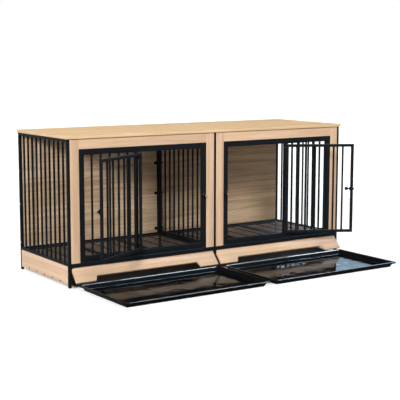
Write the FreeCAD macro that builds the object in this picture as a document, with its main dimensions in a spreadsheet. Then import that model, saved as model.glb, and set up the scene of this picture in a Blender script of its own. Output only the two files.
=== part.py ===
"""Double dog crate: a steel frame with wooden boards, two barred doors, a divider,
two slide-out trays and two tilting kick boards.

Frame of the part: X to the right, Y to the back, Z up, millimetres. The origin lies on
the floor, under the middle of the front centre post.

Left and right rooms are mirror images, so most places are given as a distance out from
the middle plane X = 0.
"""
import FreeCAD
import Part
import Sketcher
import os
import re

doc = FreeCAD.newDocument("DoubleDogCrate")
Vector = FreeCAD.Vector

# Driving dimensions

SIZES = {
    # main frame
    "frame_width": 1800,
    "frame_depth": 590,
    "frame_height": 759,
    "post_side": 15,
    "tube_wall": 1.2,
    "foot_height": 8,
    "foot_rounding": 2.5,
    "lower_rail_top": 126,
    "lower_rail_height": 21,
    "side_rail_height": 14,
    "upper_rail_height": 15,
    "front_strip_height": 15,
    # top board
    "top_thickness": 16,
    "top_side_overhang": 7,
    "top_front_overhang": 8,
    "top_edge_rounding": 1.2,
    # bars
    "bar_radius": 5.6,
    "side_bar_count": 10,
    "side_bar_margin": 46.5,
    "divider_bar_count": 10,
    "fixed_bar_count": 5,
    "fixed_bar_margin": 46,
    "door_bar_count": 6,
    "door_bar_margin": 48,
    # wooden boards
    "front_board_thickness": 12,
    "front_stile_width": 50,
    "skirt_thickness": 12,
    "skirt_bottom": 10,
    "side_skirt_bottom": 17,
    "back_thickness": 12,
    # steel door frame
    "jamb_width": 30.5,
    "sill_height": 31,
    "head_height": 31,
    "head_board_height": 52.5,
    "door_frame_depth": 15,
    "door_frame_recess": 1.5,
    "mid_post_width": 15,
    "doorway_width": 400,
    # door leaf
    "leaf_thickness": 12,
    "leaf_stile_width": 16,
    "leaf_rail_height": 16,
    "leaf_recess": 1,
    "leaf_hinge_gap": 2,
    "leaf_latch_gap": 3,
    "leaf_bottom_gap": 2.5,
    "leaf_top_gap": 2.5,
    "door_opening_angle": 151,
    # door hinges
    "knuckle_radius": 4.5,
    "knuckle_length": 14,
    "hinge_pin_radius": 2.5,
    "running_clearance": 0.05,
    "hinge_axis_inset": 0.5,
    "hinge_axis_proud": 7.5,
    "hinge_washer_thickness": 1,
    "hinge_washer_radius": 4.2,
    "hinge_washer_gap": 0.3,
    "hinge_end_distance": 4,
    "hinge_web_width": 5,
    # door bolt
    "latch_height_share": 0.543,
    "latch_plate_half_width": 18,
    "latch_plate_half_height": 16.5,
    "latch_plate_thickness": 3,
    "latch_block_length": 16,
    "latch_block_side": 10,
    "latch_block_set_back": 2,
    "latch_bolt_radius": 3,
    "latch_bolt_tail": 34,
    "latch_bolt_tip": 20,
    "latch_bolt_stand": 4,
    "latch_knob_place": 25,
    "latch_knob_radius": 10.5,
    "latch_knob_stem_radius": 4.5,
    "latch_knob_reach": 21,
    "keeper_half_width": 7,
    "keeper_half_height": 16.5,
    "keeper_plate_thickness": 2.5,
    "keeper_inset": 11.5,
    "staple_width": 7,
    "staple_height": 16,
    "staple_front_wall": 6,
    "staple_clearance": 0.5,
    # divider
    "divider_thickness": 15,
    "divider_member": 12,
    "divider_anchor_width": 12,
    "divider_knob_radius": 8.5,
    "divider_knob_length": 18,
    "divider_knob_gap": 2,
    "divider_screw_radius": 3,
    "divider_nut_radius": 6.5,
    "divider_nut_length": 7,
    # floor grille
    "floor_drop": 9,
    "floor_rail_width": 15,
    "floor_rail_height": 14,
    "floor_rod_radius": 2.5,
    "floor_wire_radius": 2,
    "floor_wire_count": 20,
    "floor_wire_end_gap": 6,
    "floor_wire_first": 14,
    # trays
    "tray_side_gap": 2,
    "tray_end_gap": 37,
    "tray_height": 28.5,
    "tray_wall": 3,
    "tray_flange": 16,
    "tray_flange_thickness": 3,
    "tray_slope": 12,
    "tray_corner_radius": 26,
    "tray_base_radius_share": 0.6,
    "tray_distance_out": 46,
    "tray_lip_drop": 3,
    "tray_lip_width": 2.5,
    # kick boards
    "kick_thickness": 12,
    "kick_height": 86,
    "kick_pivot_from_top": 6,
    "kick_pivot_drop": 12,
    "kick_recess": 1,
    "kick_end_gap": 3,
    "kick_tilt": 42,
    "kick_notch_depth": 30,
    "kick_notch_margin": 112,
    "kick_notch_slant": 14,
    "kick_pin_radius": 3,
    "kick_pin_depth": 12,
    "kick_plate_thickness": 2.5,
    "kick_plate_half_depth": 7,
    "kick_plate_height": 18,
    "catch_length": 18,
    "catch_depth": 6,
    "catch_prong": 6.5,
    "catch_spacing": 22,
    "catch_bottom": 36.8,
    "catch_back": 2,
    "catch_gap": 0.8,
    # screws and bolts
    "bolt_head_radius": 5,
    "bolt_head_height": 3,
    "skirt_screw_radius": 4.5,
    "skirt_screw_height": 1.5,
    "skirt_screw_count": 5,
    "skirt_screw_pitch": 94,
    "skirt_screw_first": 85.5,
    "skirt_screw_rise": 8,
    # how far a cutting tool runs past what it cuts
    "overrun": 5,
}

# Heights of the three divider screws and of the bolts in the corner posts,
# as shares of the way from the lower rails to the upper ones
SCREW_HEIGHT_SHARES = (0.0435, 0.3865, 0.678)

# Places worked out from the driving dimensions. "out" is a distance from X = 0.
PLACES = {
    "half_post": "post_side / 2",
    "corner_out": "frame_width / 2 - half_post",
    "rear_y": "frame_depth - post_side",
    "bay_front": "half_post",
    "bay_depth": "rear_y - post_side",
    "bay_inner": "half_post",
    "bay_width": "corner_out - post_side",
    "front_face": "0 - half_post",
    "rear_face": "rear_y + half_post",
    "post_length": "frame_height - foot_height",
    "post_inner": "post_side - 2 * tube_wall",
    "rail_bottom": "lower_rail_top - lower_rail_height",
    "side_rail_bottom": "lower_rail_top - side_rail_height",
    "upper_rail_bottom": "frame_height - upper_rail_height",
    "front_strip_bottom": "frame_height - front_strip_height",
    "front_strip_y": "front_face + front_board_thickness",
    "front_strip_depth": "post_side - front_board_thickness",
    "bar_height": "upper_rail_bottom - lower_rail_top",
    "side_bar_pitch": "(bay_depth - 2 * side_bar_margin) / (side_bar_count - 1)",
    "side_bar_first": "bay_front + side_bar_margin",
    # door frame, out from the middle plane
    "jamb_in": "bay_inner + front_stile_width",
    "doorway_in": "jamb_in + jamb_width",
    "mid_post_in": "doorway_in + doorway_width",
    "fixed_in": "mid_post_in + mid_post_width",
    "door_frame_out": "bay_inner + bay_width - front_stile_width",
    "fixed_out": "door_frame_out - jamb_width",
    "head_top": "frame_height - head_board_height",
    "opening_bottom": "lower_rail_top + sill_height",
    "opening_top": "head_top - head_height",
    "opening_height": "opening_top - opening_bottom",
    "door_frame_front": "front_face + door_frame_recess",
    "door_frame_mid": "door_frame_front + door_frame_depth / 2",
    "fixed_bar_first": "fixed_in + fixed_bar_margin",
    "fixed_bar_pitch": "(fixed_out - fixed_in - 2 * fixed_bar_margin) / (fixed_bar_count - 1)",
    # door leaf, from the hinge axis, as the closed door lies
    "hinge_out": "mid_post_in - hinge_axis_inset",
    "hinge_y": "door_frame_front - hinge_axis_proud",
    "leaf_start": "leaf_hinge_gap - hinge_axis_inset",
    "leaf_length": "doorway_width - leaf_hinge_gap - leaf_latch_gap",
    "leaf_front": "front_face + leaf_recess - hinge_y",
    "leaf_bottom": "opening_bottom + leaf_bottom_gap",
    "leaf_height": "opening_top - leaf_top_gap - leaf_bottom",
    "leaf_bar_height": "leaf_height - 2 * leaf_rail_height",
    "leaf_bar_bottom": "leaf_bottom + leaf_rail_height",
    "leaf_inner_length": "leaf_length - 2 * leaf_stile_width",
    "door_bar_first": "leaf_start + leaf_stile_width + door_bar_margin",
    "door_bar_pitch": "(leaf_inner_length - 2 * door_bar_margin) / (door_bar_count - 1)",
    "leaf_mid": "leaf_front + leaf_thickness / 2",
    "low_hinge_bottom": "leaf_bottom + hinge_end_distance",
    "hinge_height": "2 * knuckle_length + hinge_washer_thickness + 2 * hinge_washer_gap",
    "high_hinge_bottom": "leaf_bottom + leaf_height - hinge_end_distance - hinge_height",
    "upper_knuckle_rise": "hinge_height - knuckle_length",
    "washer_rise": "knuckle_length + hinge_washer_gap",
    # door bolt, from the hinge axis
    "latch_height": "frame_height * latch_height_share",
    "latch_x": "leaf_start + leaf_length - leaf_stile_width / 2",
    "latch_face": "leaf_front - latch_plate_thickness",
    "latch_bolt_y": "latch_face - latch_bolt_stand",
    "latch_bolt_length": "latch_bolt_tail + latch_bolt_tip",
    "latch_block_x": "latch_x - latch_block_set_back",
    "latch_block_depth": "latch_bolt_stand + latch_block_side / 2",
    # keeper on the jamb
    "keeper_out": "doorway_in - keeper_inset - staple_width / 2",
    "keeper_face": "door_frame_front - keeper_plate_thickness",
    "bolt_line_y": "hinge_y + latch_bolt_y",
    "staple_front": "bolt_line_y - latch_bolt_radius - staple_clearance - staple_front_wall",
    # divider
    "divider_inner_depth": "bay_depth - 2 * divider_member",
    "divider_inner_front": "bay_front + divider_member",
    "divider_bar_pitch": "divider_inner_depth / (divider_bar_count + 1)",
    "divider_bar_bottom": "lower_rail_top + divider_member",
    "divider_bar_height": "bar_height - 2 * divider_member",
    "divider_screw_y": "bay_front + bay_depth - divider_member / 2",
    "divider_face": "divider_thickness / 2",
    "divider_anchor_y": "bay_front + bay_depth - divider_member",
    "divider_anchor_depth": "back_front - divider_anchor_y",
    "divider_knob_x": "divider_face + divider_anchor_width + divider_knob_gap",
    # floor grille
    "floor_pitch": "bay_width / 9",
    "floor_top": "lower_rail_top - floor_drop",
    "floor_rod_z": "floor_top - floor_rod_radius",
    "floor_wire_z": "floor_top + floor_wire_radius",
    "floor_wire_start": "bay_inner + floor_wire_end_gap",
    "floor_wire_length": "bay_width - 2 * floor_wire_end_gap",
    "floor_wire_y": "bay_front + floor_wire_first",
    "floor_wire_pitch": "(bay_depth - 2 * floor_wire_first) / (floor_wire_count - 1)",
    # trays
    "tray_width": "bay_width - 2 * tray_side_gap",
    "tray_depth": "bay_depth - 2 * tray_end_gap",
    "tray_out": "bay_inner + bay_width / 2",
    "tray_y": "front_face - tray_distance_out - tray_depth / 2",
    "tray_top_width": "tray_width - 2 * tray_flange",
    "tray_top_depth": "tray_depth - 2 * tray_flange",
    "tray_base_width": "tray_top_width - 2 * tray_slope",
    "tray_base_depth": "tray_top_depth - 2 * tray_slope",
    "tray_top_radius": "tray_corner_radius - tray_flange",
    "tray_base_radius": "tray_top_radius * tray_base_radius_share",
    "tray_flange_bottom": "tray_height - tray_flange_thickness",
    "tray_inner_top_width": "tray_top_width - 2 * tray_wall",
    "tray_inner_top_depth": "tray_top_depth - 2 * tray_wall",
    "tray_inner_top_radius": "tray_top_radius - tray_wall",
    "tray_inner_base_width": "tray_base_width - 2 * tray_wall",
    "tray_inner_base_depth": "tray_base_depth - 2 * tray_wall",
    "tray_inner_base_radius": "tray_base_radius - tray_wall",
    "tray_lip_bottom": "tray_flange_bottom - tray_lip_drop",
    "tray_lip_inner_width": "tray_width - 2 * tray_lip_width",
    "tray_lip_inner_depth": "tray_depth - 2 * tray_lip_width",
    "tray_lip_inner_radius": "tray_corner_radius - tray_lip_width",
    # kick boards
    "kick_drop": "kick_height - kick_pivot_from_top",
    "kick_width": "bay_width - 2 * kick_end_gap",
    "kick_start": "bay_inner + kick_end_gap",
    "kick_pivot_y": "front_face + kick_recess + kick_thickness / 2",
    "kick_pivot_z": "rail_bottom - kick_pivot_drop",
    "kick_notch_low_a": "kick_notch_margin",
    "kick_notch_low_b": "kick_width - kick_notch_margin",
    "kick_notch_high_a": "kick_notch_margin + kick_notch_slant",
    "kick_notch_high_b": "kick_width - kick_notch_margin - kick_notch_slant",
    "kick_pin_length": "kick_end_gap + kick_pin_depth",
    "kick_pin_out_end": "bay_inner + bay_width - kick_end_gap - kick_pin_depth",
    "kick_plate_bottom": "rail_bottom - kick_plate_height",
    "kick_plate_front": "kick_pivot_y - kick_plate_half_depth",
    "catch_front": "kick_pivot_y + kick_thickness / 2 + catch_gap",
    # skirts and back
    "skirt_height": "rail_bottom - skirt_bottom",
    "side_skirt_height": "side_rail_bottom - side_skirt_bottom",
    "skirt_screw_y": "bay_front + skirt_screw_first",
    "skirt_screw_z": "side_skirt_bottom + skirt_screw_rise",
    "back_front": "rear_face - back_thickness",
    # top board
    "top_width": "frame_width + 2 * top_side_overhang",
    "top_depth": "frame_depth + top_front_overhang",
    "top_mid_y": "(rear_y - top_front_overhang) / 2",
}

sizes = doc.addObject("Spreadsheet::Sheet", "Sizes")
for row, (alias, number) in enumerate(SIZES.items(), start=1):
    sizes.set(f"A{row}", alias)
    sizes.set(f"B{row}", str(number))
    sizes.setAlias(f"B{row}", alias)
doc.recompute()


def linked(formula, own=()):
    """The formula with each size and place named with its sheet, except those of own."""
    def full(match):
        word = match.group()
        if word in own:
            return word
        if word in SIZES:
            return f"Sizes.{word}"
        return f"Places.{word}" if word in PLACES else word
    return re.sub(r"[a-z_]+", full, formula)


places = doc.addObject("Spreadsheet::Sheet", "Places")
for row, (alias, formula) in enumerate(PLACES.items(), start=1):
    places.set(f"A{row}", alias)
    places.set(f"B{row}", "=" + linked(formula, own=PLACES))
    places.setAlias(f"B{row}", alias)
doc.recompute()


def number_of(name):
    """The present value of a size or place."""
    sheet = sizes if name in SIZES else places
    return float(sheet.get(name))


# Helpers for solids whose sizes follow the sheets

ALONG = {
    "x": FreeCAD.Rotation(Vector(0, 1, 0), 90),
    "y": FreeCAD.Rotation(Vector(1, 0, 0), -90),
    "z": FreeCAD.Rotation(),
}
SIDES = {"left": -1, "right": 1}
nodes = {}


def place(thing, spot, turn=None):
    """Puts a thing at a spot given by three formulas, with an optional turn."""
    if turn is not None:
        thing.Placement = FreeCAD.Placement(Vector(), turn)
    for axis, formula in zip("xyz", spot):
        thing.setExpression(f"Placement.Base.{axis}", linked(formula))
    return thing


def block(name, size, corner):
    """A box with its lowest corner at corner."""
    box = doc.addObject("Part::Box", name)
    for measure, formula in zip(("Length", "Width", "Height"), size):
        box.setExpression(measure, linked(formula))
    return place(box, corner)


def rod(name, radius, length, start, along="z"):
    """A round bar that runs from start in the direction of the axis named."""
    bar = doc.addObject("Part::Cylinder", name)
    bar.setExpression("Radius", linked(radius))
    bar.setExpression("Height", linked(length))
    return place(bar, start, ALONG[along])


def cut(name, base, tool):
    """The base with the tool taken away."""
    result = doc.addObject("Part::Cut", name)
    result.Base = base
    result.Tool = tool
    return result


def fuse(name, shapes):
    """One welded solid."""
    result = doc.addObject("Part::MultiFuse", name)
    result.Shapes = shapes
    result.Refine = False
    return result


def group(name, shapes):
    """Several separate solids of one node."""
    result = doc.addObject("Part::Compound", name)
    result.Links = shapes
    return result


def tube(name, size, corner, along):
    """A rectangular tube, open at both ends."""
    axis = "xyz".index(along)
    inner_size = [f"{formula} - 2 * tube_wall" for formula in size]
    inner_corner = [f"{formula} + tube_wall" for formula in corner]
    inner_size[axis] = f"{size[axis]} + 2 * overrun"
    inner_corner[axis] = f"{corner[axis]} - overrun"
    outer = block(name + "_outer", size, corner)
    inner = block(name + "_inner", inner_size, inner_corner)
    return cut(name, outer, inner)


def mirrored(sign, start, length):
    """The lower X of a stretch that starts at start, to the side that sign gives."""
    return f"{start}" if sign > 0 else f"0 - ({start}) - ({length})"


def signed(sign, formula):
    """The formula, or its opposite on the negative side."""
    return f"{formula}" if sign > 0 else f"0 - ({formula})"


def node(label, thing):
    """Registers a finished sub-part under its label."""
    thing.Label = label
    nodes[label] = thing
    return thing


def body(name):
    return doc.addObject("PartDesign::Body", name)


def sketch(owner, name, plane, lift=None):
    """A sketch on one of the body's origin planes, raised by a formula."""
    drawing = owner.newObject("Sketcher::SketchObject", name)
    planes = [item for item in owner.Origin.OriginFeatures if item.Role == plane]
    drawing.AttachmentSupport = [(planes[0], "")]
    drawing.MapMode = "FlatFace"
    if lift is not None:
        drawing.setExpression("AttachmentOffset.Base.z", linked(lift))
    return drawing


def named_limit(drawing, limit, name, formula):
    """Adds a constraint with a name and ties it to a formula."""
    index = drawing.addConstraint(limit)
    drawing.renameConstraint(index, name)
    drawing.setExpression(f"Constraints.{name}", linked(formula))


def add_rectangle(drawing, name, width, height):
    """A rectangle centred on the sketch's origin; width and height are names."""
    across = number_of(width) / 2
    up = number_of(height) / 2
    corners = [Vector(-across, -up, 0), Vector(across, -up, 0),
               Vector(across, up, 0), Vector(-across, up, 0)]
    first = drawing.GeometryCount
    for index in range(4):
        drawing.addGeometry(Part.LineSegment(corners[index], corners[(index + 1) % 4]), False)
    for index in range(4):
        following = first + (index + 1) % 4
        drawing.addConstraint(Sketcher.Constraint("Coincident", first + index, 2, following, 1))
    for index in (0, 2):
        drawing.addConstraint(Sketcher.Constraint("Horizontal", first + index))
        drawing.addConstraint(Sketcher.Constraint("Vertical", first + index + 1))
    drawing.addConstraint(Sketcher.Constraint("Symmetric", first, 1, first + 2, 1, -1, 1))
    named_limit(drawing, Sketcher.Constraint("DistanceX", first, 1, first, 2, 2 * across),
                f"{name}_width", width)
    named_limit(drawing, Sketcher.Constraint("DistanceY", first + 1, 1, first + 1, 2, 2 * up),
                f"{name}_height", height)


def add_rounded_rectangle(drawing, name, width, height, radius):
    """A centred rectangle with round corners: four lines and four tangent arcs."""
    across = number_of(width) / 2
    up = number_of(height) / 2
    bend = number_of(radius)
    first = drawing.GeometryCount
    quarter = 90
    middles = [Vector(across - bend, up - bend, 0), Vector(bend - across, up - bend, 0),
               Vector(bend - across, bend - up, 0), Vector(across - bend, bend - up, 0)]
    arcs = []
    for index, middle in enumerate(middles):
        circle = Part.Circle(middle, Vector(0, 0, 1), bend)
        start = FreeCAD.Units.Quantity(index * quarter, FreeCAD.Units.Angle).getValueAs("rad")
        end = FreeCAD.Units.Quantity((index + 1) * quarter, FreeCAD.Units.Angle).getValueAs("rad")
        arcs.append(Part.ArcOfCircle(circle, start.Value, end.Value))
    for index in range(4):
        following = arcs[(index + 1) % 4]
        drawing.addGeometry(arcs[index], False)
        drawing.addGeometry(Part.LineSegment(arcs[index].EndPoint, following.StartPoint), False)
    for index in range(4):
        arc = first + 2 * index
        following = first + 2 * ((index + 1) % 4)
        drawing.addConstraint(Sketcher.Constraint("Tangent", arc, 2, arc + 1, 1))
        drawing.addConstraint(Sketcher.Constraint("Tangent", arc + 1, 2, following, 1))
    for index in (0, 2):
        drawing.addConstraint(Sketcher.Constraint("Horizontal", first + 1 + 2 * index))
        drawing.addConstraint(Sketcher.Constraint("Vertical", first + 3 + 2 * index))
    for index in (1, 2, 3):
        drawing.addConstraint(Sketcher.Constraint("Equal", first, first + 2 * index))
    drawing.addConstraint(Sketcher.Constraint("Symmetric", first, 3, first + 4, 3, -1, 1))
    named_limit(drawing, Sketcher.Constraint("Radius", first, bend), f"{name}_radius", radius)
    named_limit(drawing,
                Sketcher.Constraint("DistanceX", first + 2, 2, first, 1, 2 * across),
                f"{name}_width", width)
    named_limit(drawing,
                Sketcher.Constraint("DistanceY", first + 4, 2, first, 2, 2 * up),
                f"{name}_height", height)


def add_outline(drawing, name, points):
    """A closed outline of straight lines; each point is two names, or 0 on an axis.

    Nothing lies on the negative side, so every distance is measured from the origin.
    """
    values = [[0 if item == "0" else number_of(item) for item in point] for point in points]
    first = drawing.GeometryCount
    count = len(points)
    for index in range(count):
        start = Vector(*values[index], 0)
        end = Vector(*values[(index + 1) % count], 0)
        drawing.addGeometry(Part.LineSegment(start, end), False)
    for index in range(count):
        line = first + index
        following = first + (index + 1) % count
        drawing.addConstraint(Sketcher.Constraint("Coincident", line, 2, following, 1))
        for kind, axis, item, value in zip(("DistanceX", "DistanceY"), (-2, -1),
                                           points[index], values[index]):
            if item == "0":
                drawing.addConstraint(Sketcher.Constraint("PointOnObject", line, 1, axis))
            else:
                named_limit(drawing, Sketcher.Constraint(kind, -1, 1, line, 1, value),
                            f"{name}_{kind.lower()}_{index}", item)


def add_diamond(drawing, name, half_width, half_height):
    """A diamond centred on the sketch's origin."""
    across = number_of(half_width)
    up = number_of(half_height)
    tips = [Vector(across, 0, 0), Vector(0, up, 0), Vector(-across, 0, 0), Vector(0, -up, 0)]
    for index in range(4):
        drawing.addGeometry(Part.LineSegment(tips[index], tips[(index + 1) % 4]), False)
    for index in range(4):
        drawing.addConstraint(Sketcher.Constraint("Coincident", index, 2, (index + 1) % 4, 1))
    for index, axis in ((0, -1), (1, -2), (2, -1), (3, -2)):
        drawing.addConstraint(Sketcher.Constraint("PointOnObject", index, 1, axis))
    for index in (1, 2):
        drawing.addConstraint(Sketcher.Constraint("Equal", 0, index))
    named_limit(drawing, Sketcher.Constraint("DistanceX", -1, 1, 0, 1, across),
                f"{name}_half_width", half_width)
    named_limit(drawing, Sketcher.Constraint("DistanceY", -1, 1, 1, 1, up),
                f"{name}_half_height", half_height)


def pad(owner, name, drawing, length, symmetric=False):
    """A pad of the sketch, upwards or to both sides."""
    feature = owner.newObject("PartDesign::Pad", name)
    feature.Profile = drawing
    feature.setExpression("Length", linked(length))
    if symmetric:
        feature.SideType = "Symmetric"
    return feature


# Main frame: posts, feet and rails

POSTS = {}
for row_name, row_y in (("front", "0"), ("rear", "rear_y")):
    for column_name, column_x in (("left", "0 - corner_out"), ("centre", "0"),
                                  ("right", "corner_out")):
        POSTS[f"{row_name}_{column_name}"] = (column_x, row_y)


def build_post(label, spot):
    """A square steel tube that stands in its foot."""
    post = body(f"Post_{label}")
    ring = sketch(post, f"PostRing_{label}", "XY_Plane")
    add_rectangle(ring, "outer", "post_side", "post_side")
    add_rectangle(ring, "inner", "post_inner", "post_inner")
    pad(post, f"PostPad_{label}", ring, "post_length")
    node(f"post_{label}", place(post, (*spot, "foot_height")))


def build_feet():
    """A short plastic foot under each post, with a rounded lower edge."""
    feet = []
    for label, (x, y) in POSTS.items():
        foot = block(f"FootBlock_{label}", ("post_side", "post_side", "foot_height"),
                     (f"{x} - half_post", f"{y} - half_post", "0"))
        soft = doc.addObject("Part::Fillet", f"Foot_{label}")
        soft.Base = foot
        doc.recompute()
        rounding = number_of("foot_rounding")
        low = [index for index, edge in enumerate(foot.Shape.Edges, start=1)
               if edge.BoundBox.ZMax < number_of("foot_height") / 2]
        soft.Edges = [(index, rounding, rounding) for index in low]
        feet.append(soft)
    node("feet", group("Feet", feet))


def build_bay_rails():
    """Rails that run along X between the posts of each room, front and rear."""
    rails = (
        ("front_lower_rail", "front_face", "rail_bottom", "lower_rail_height"),
        ("rear_lower_rail", "rear_y - half_post", "rail_bottom", "lower_rail_height"),
        ("rear_upper_rail", "rear_y - half_post", "upper_rail_bottom", "upper_rail_height"),
    )
    for label, y, bottom, height in rails:
        pair = []
        for side, sign in SIDES.items():
            corner = (mirrored(sign, "bay_inner", "bay_width"), y, bottom)
            pair.append(tube(f"{label}_{side}", ("bay_width", "post_side", height), corner, "x"))
        node(f"{label}s", group(f"{label}_pair", pair))


def build_front_strips():
    """Flat strips behind the tops of the front boards, between the posts."""
    strips = []
    for side, sign in SIDES.items():
        corner = (mirrored(sign, "bay_inner", "bay_width"), "front_strip_y", "front_strip_bottom")
        size = ("bay_width", "front_strip_depth", "front_strip_height")
        strips.append(block(f"FrontStrip_{side}", size, corner))
    node("front_upper_strips", group("FrontStrips", strips))


def build_centre_rails():
    """Rails that run front to back over and under the divider."""
    rails = []
    for label, bottom, height in (("lower", "rail_bottom", "lower_rail_height"),
                                  ("upper", "upper_rail_bottom", "upper_rail_height")):
        size = ("post_side", "bay_depth", height)
        rails.append(tube(f"CentreRail_{label}", size, ("0 - half_post", "bay_front", bottom), "y"))
    node("centre_rails", group("CentreRails", rails))


def build_side_grille(side, sign):
    """A welded side: a lower and an upper rail with ten upright bars."""
    start = mirrored(sign, "corner_out - half_post", "post_side")
    parts = []
    for label, bottom, height in (("lower", "side_rail_bottom", "side_rail_height"),
                                  ("upper", "upper_rail_bottom", "upper_rail_height")):
        size = ("post_side", "bay_depth", height)
        parts.append(tube(f"SideRail_{label}_{side}", size, (start, "bay_front", bottom), "y"))
    for index in range(SIZES["side_bar_count"]):
        spot = (signed(sign, "corner_out"), f"side_bar_first + {index} * side_bar_pitch",
                "lower_rail_top")
        parts.append(rod(f"SideBar_{side}_{index + 1}", "bar_radius", "bar_height", spot))
    node(f"side_grille_{side}", fuse(f"SideGrille_{side}", parts))


def build_top_board():
    """The wooden top, with its sharp edges taken off."""
    top = body("TopBoard")
    plan = sketch(top, "TopPlan", "XY_Plane")
    add_rectangle(plan, "top", "top_width", "top_depth")
    slab = pad(top, "TopPad", plan, "top_thickness")
    doc.recompute()
    soft = top.newObject("PartDesign::Fillet", "TopEdges")
    high = [f"Edge{index}" for index, edge in enumerate(slab.Shape.Edges, start=1)
            if edge.BoundBox.ZMin > number_of("top_thickness") / 2]
    soft.Base = (slab, high)
    soft.setExpression("Radius", linked("top_edge_rounding"))
    node("top_board", place(top, ("0", "top_mid_y", "frame_height")))


# Wooden boards

def build_front_boards(side, sign):
    """The wooden surround of a room's front: two stiles and a head board."""
    stile_height = "frame_height - lower_rail_top"
    for label, start in (("inner", "bay_inner"), ("outer", "door_frame_out")):
        size = ("front_stile_width", "front_board_thickness", stile_height)
        corner = (mirrored(sign, start, "front_stile_width"), "front_face", "lower_rail_top")
        node(f"front_stile_{side}_{label}", block(f"FrontStile_{side}_{label}", size, corner))
    width = "door_frame_out - jamb_in"
    size = (width, "front_board_thickness", "head_board_height")
    corner = (mirrored(sign, "jamb_in", width), "front_face", "head_top")
    node(f"front_head_board_{side}", block(f"FrontHeadBoard_{side}", size, corner))


def build_skirts(side, sign):
    """Low boards below the lower rails, at the side and at the rear."""
    corner = (mirrored(sign, "frame_width / 2 - skirt_thickness", "skirt_thickness"),
              "bay_front", "side_skirt_bottom")
    size = ("skirt_thickness", "bay_depth", "side_skirt_height")
    node(f"side_skirt_{side}", block(f"SideSkirt_{side}", size, corner))
    corner = (mirrored(sign, "bay_inner", "bay_width"), "rear_face - skirt_thickness",
              "skirt_bottom")
    size = ("bay_width", "skirt_thickness", "skirt_height")
    node(f"rear_skirt_{side}", block(f"RearSkirt_{side}", size, corner))


def build_back_panel(side, sign):
    """The wooden back of a room, between the rear rails."""
    corner = (mirrored(sign, "bay_inner", "bay_width"), "back_front", "lower_rail_top")
    size = ("bay_width", "back_thickness", "bar_height")
    node(f"back_panel_{side}", block(f"BackPanel_{side}", size, corner))


# Steel door frames and door leaves

def build_door_frame(side, sign):
    """Jambs, head, sill and middle post of flat tube, with five fixed bars."""
    depth = "door_frame_depth"
    front = "door_frame_front"
    tall = "head_top - lower_rail_top"
    wide = "fixed_out - doorway_in"
    parts = []
    for label, start in (("inner", "jamb_in"), ("outer", "fixed_out")):
        corner = (mirrored(sign, start, "jamb_width"), front, "lower_rail_top")
        parts.append(block(f"Jamb_{side}_{label}", ("jamb_width", depth, tall), corner))
    for label, bottom, height in (("Sill", "lower_rail_top", "sill_height"),
                                  ("Head", "opening_top", "head_height")):
        corner = (mirrored(sign, "doorway_in", wide), front, bottom)
        parts.append(block(f"{label}_{side}", (wide, depth, height), corner))
    corner = (mirrored(sign, "mid_post_in", "mid_post_width"), front, "opening_bottom")
    parts.append(block(f"MidPost_{side}", ("mid_post_width", depth, "opening_height"), corner))
    for index in range(SIZES["fixed_bar_count"]):
        out = f"fixed_bar_first + {index} * fixed_bar_pitch"
        spot = (signed(sign, out), "door_frame_mid", "opening_bottom")
        parts.append(rod(f"FixedBar_{side}_{index + 1}", "bar_radius", "opening_height", spot))
    node(f"door_frame_{side}", group(f"DoorFrame_{side}", parts))


def hinge_bottoms():
    """The undersides of a door's two hinges, by name."""
    return (("low", "low_hinge_bottom"), ("high", "high_hinge_bottom"))


def build_hinge_brackets(side, sign):
    """The fixed knuckles, each with a web to the middle post."""
    brackets = []
    hinge_x = signed(sign, "hinge_out")
    for label, bottom in hinge_bottoms():
        knuckle = rod(f"FixedKnuckle_{side}_{label}", "knuckle_radius", "knuckle_length",
                      (hinge_x, "hinge_y", bottom))
        corner = (mirrored(sign, "mid_post_in", "hinge_web_width"), "hinge_y", bottom)
        web = block(f"FixedWeb_{side}_{label}",
                    ("hinge_web_width", "hinge_axis_proud", "knuckle_length"), corner)
        solid = fuse(f"FixedSolid_{side}_{label}", [knuckle, web])
        bore = rod(f"FixedBore_{side}_{label}", "hinge_pin_radius",
                   "knuckle_length + 2 * overrun", (hinge_x, "hinge_y", f"{bottom} - overrun"))
        brackets.append(cut(f"HingeBracket_{side}_{label}", solid, bore))
    node(f"hinge_brackets_{side}", group(f"HingeBrackets_{side}", brackets))


def build_hinge_pins(side, sign):
    """A bright pin with its washer in each hinge."""
    parts = []
    hinge_x = signed(sign, "hinge_out")
    for label, bottom in hinge_bottoms():
        pin = rod(f"HingePin_{side}_{label}", "hinge_pin_radius", "hinge_height",
                  (hinge_x, "hinge_y", bottom))
        washer = rod(f"HingeWasher_{side}_{label}", "hinge_washer_radius",
                     "hinge_washer_thickness", (hinge_x, "hinge_y", f"{bottom} + washer_rise"))
        parts.append(fuse(f"PinWithWasher_{side}_{label}", [pin, washer]))
    node(f"hinge_pins_{side}", group(f"HingePins_{side}", parts))


def open_door(thing, side, sign):
    """Turns a piece that was built on the hinge axis to the door's resting angle."""
    place(thing, (signed(sign, "hinge_out"), "hinge_y", "0"), FreeCAD.Rotation())
    thing.Placement.Rotation = FreeCAD.Rotation(Vector(0, 0, 1), sign * 1)
    thing.setExpression("Placement.Rotation.Angle", linked(f"{sign} * door_opening_angle"))
    return thing


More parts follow.
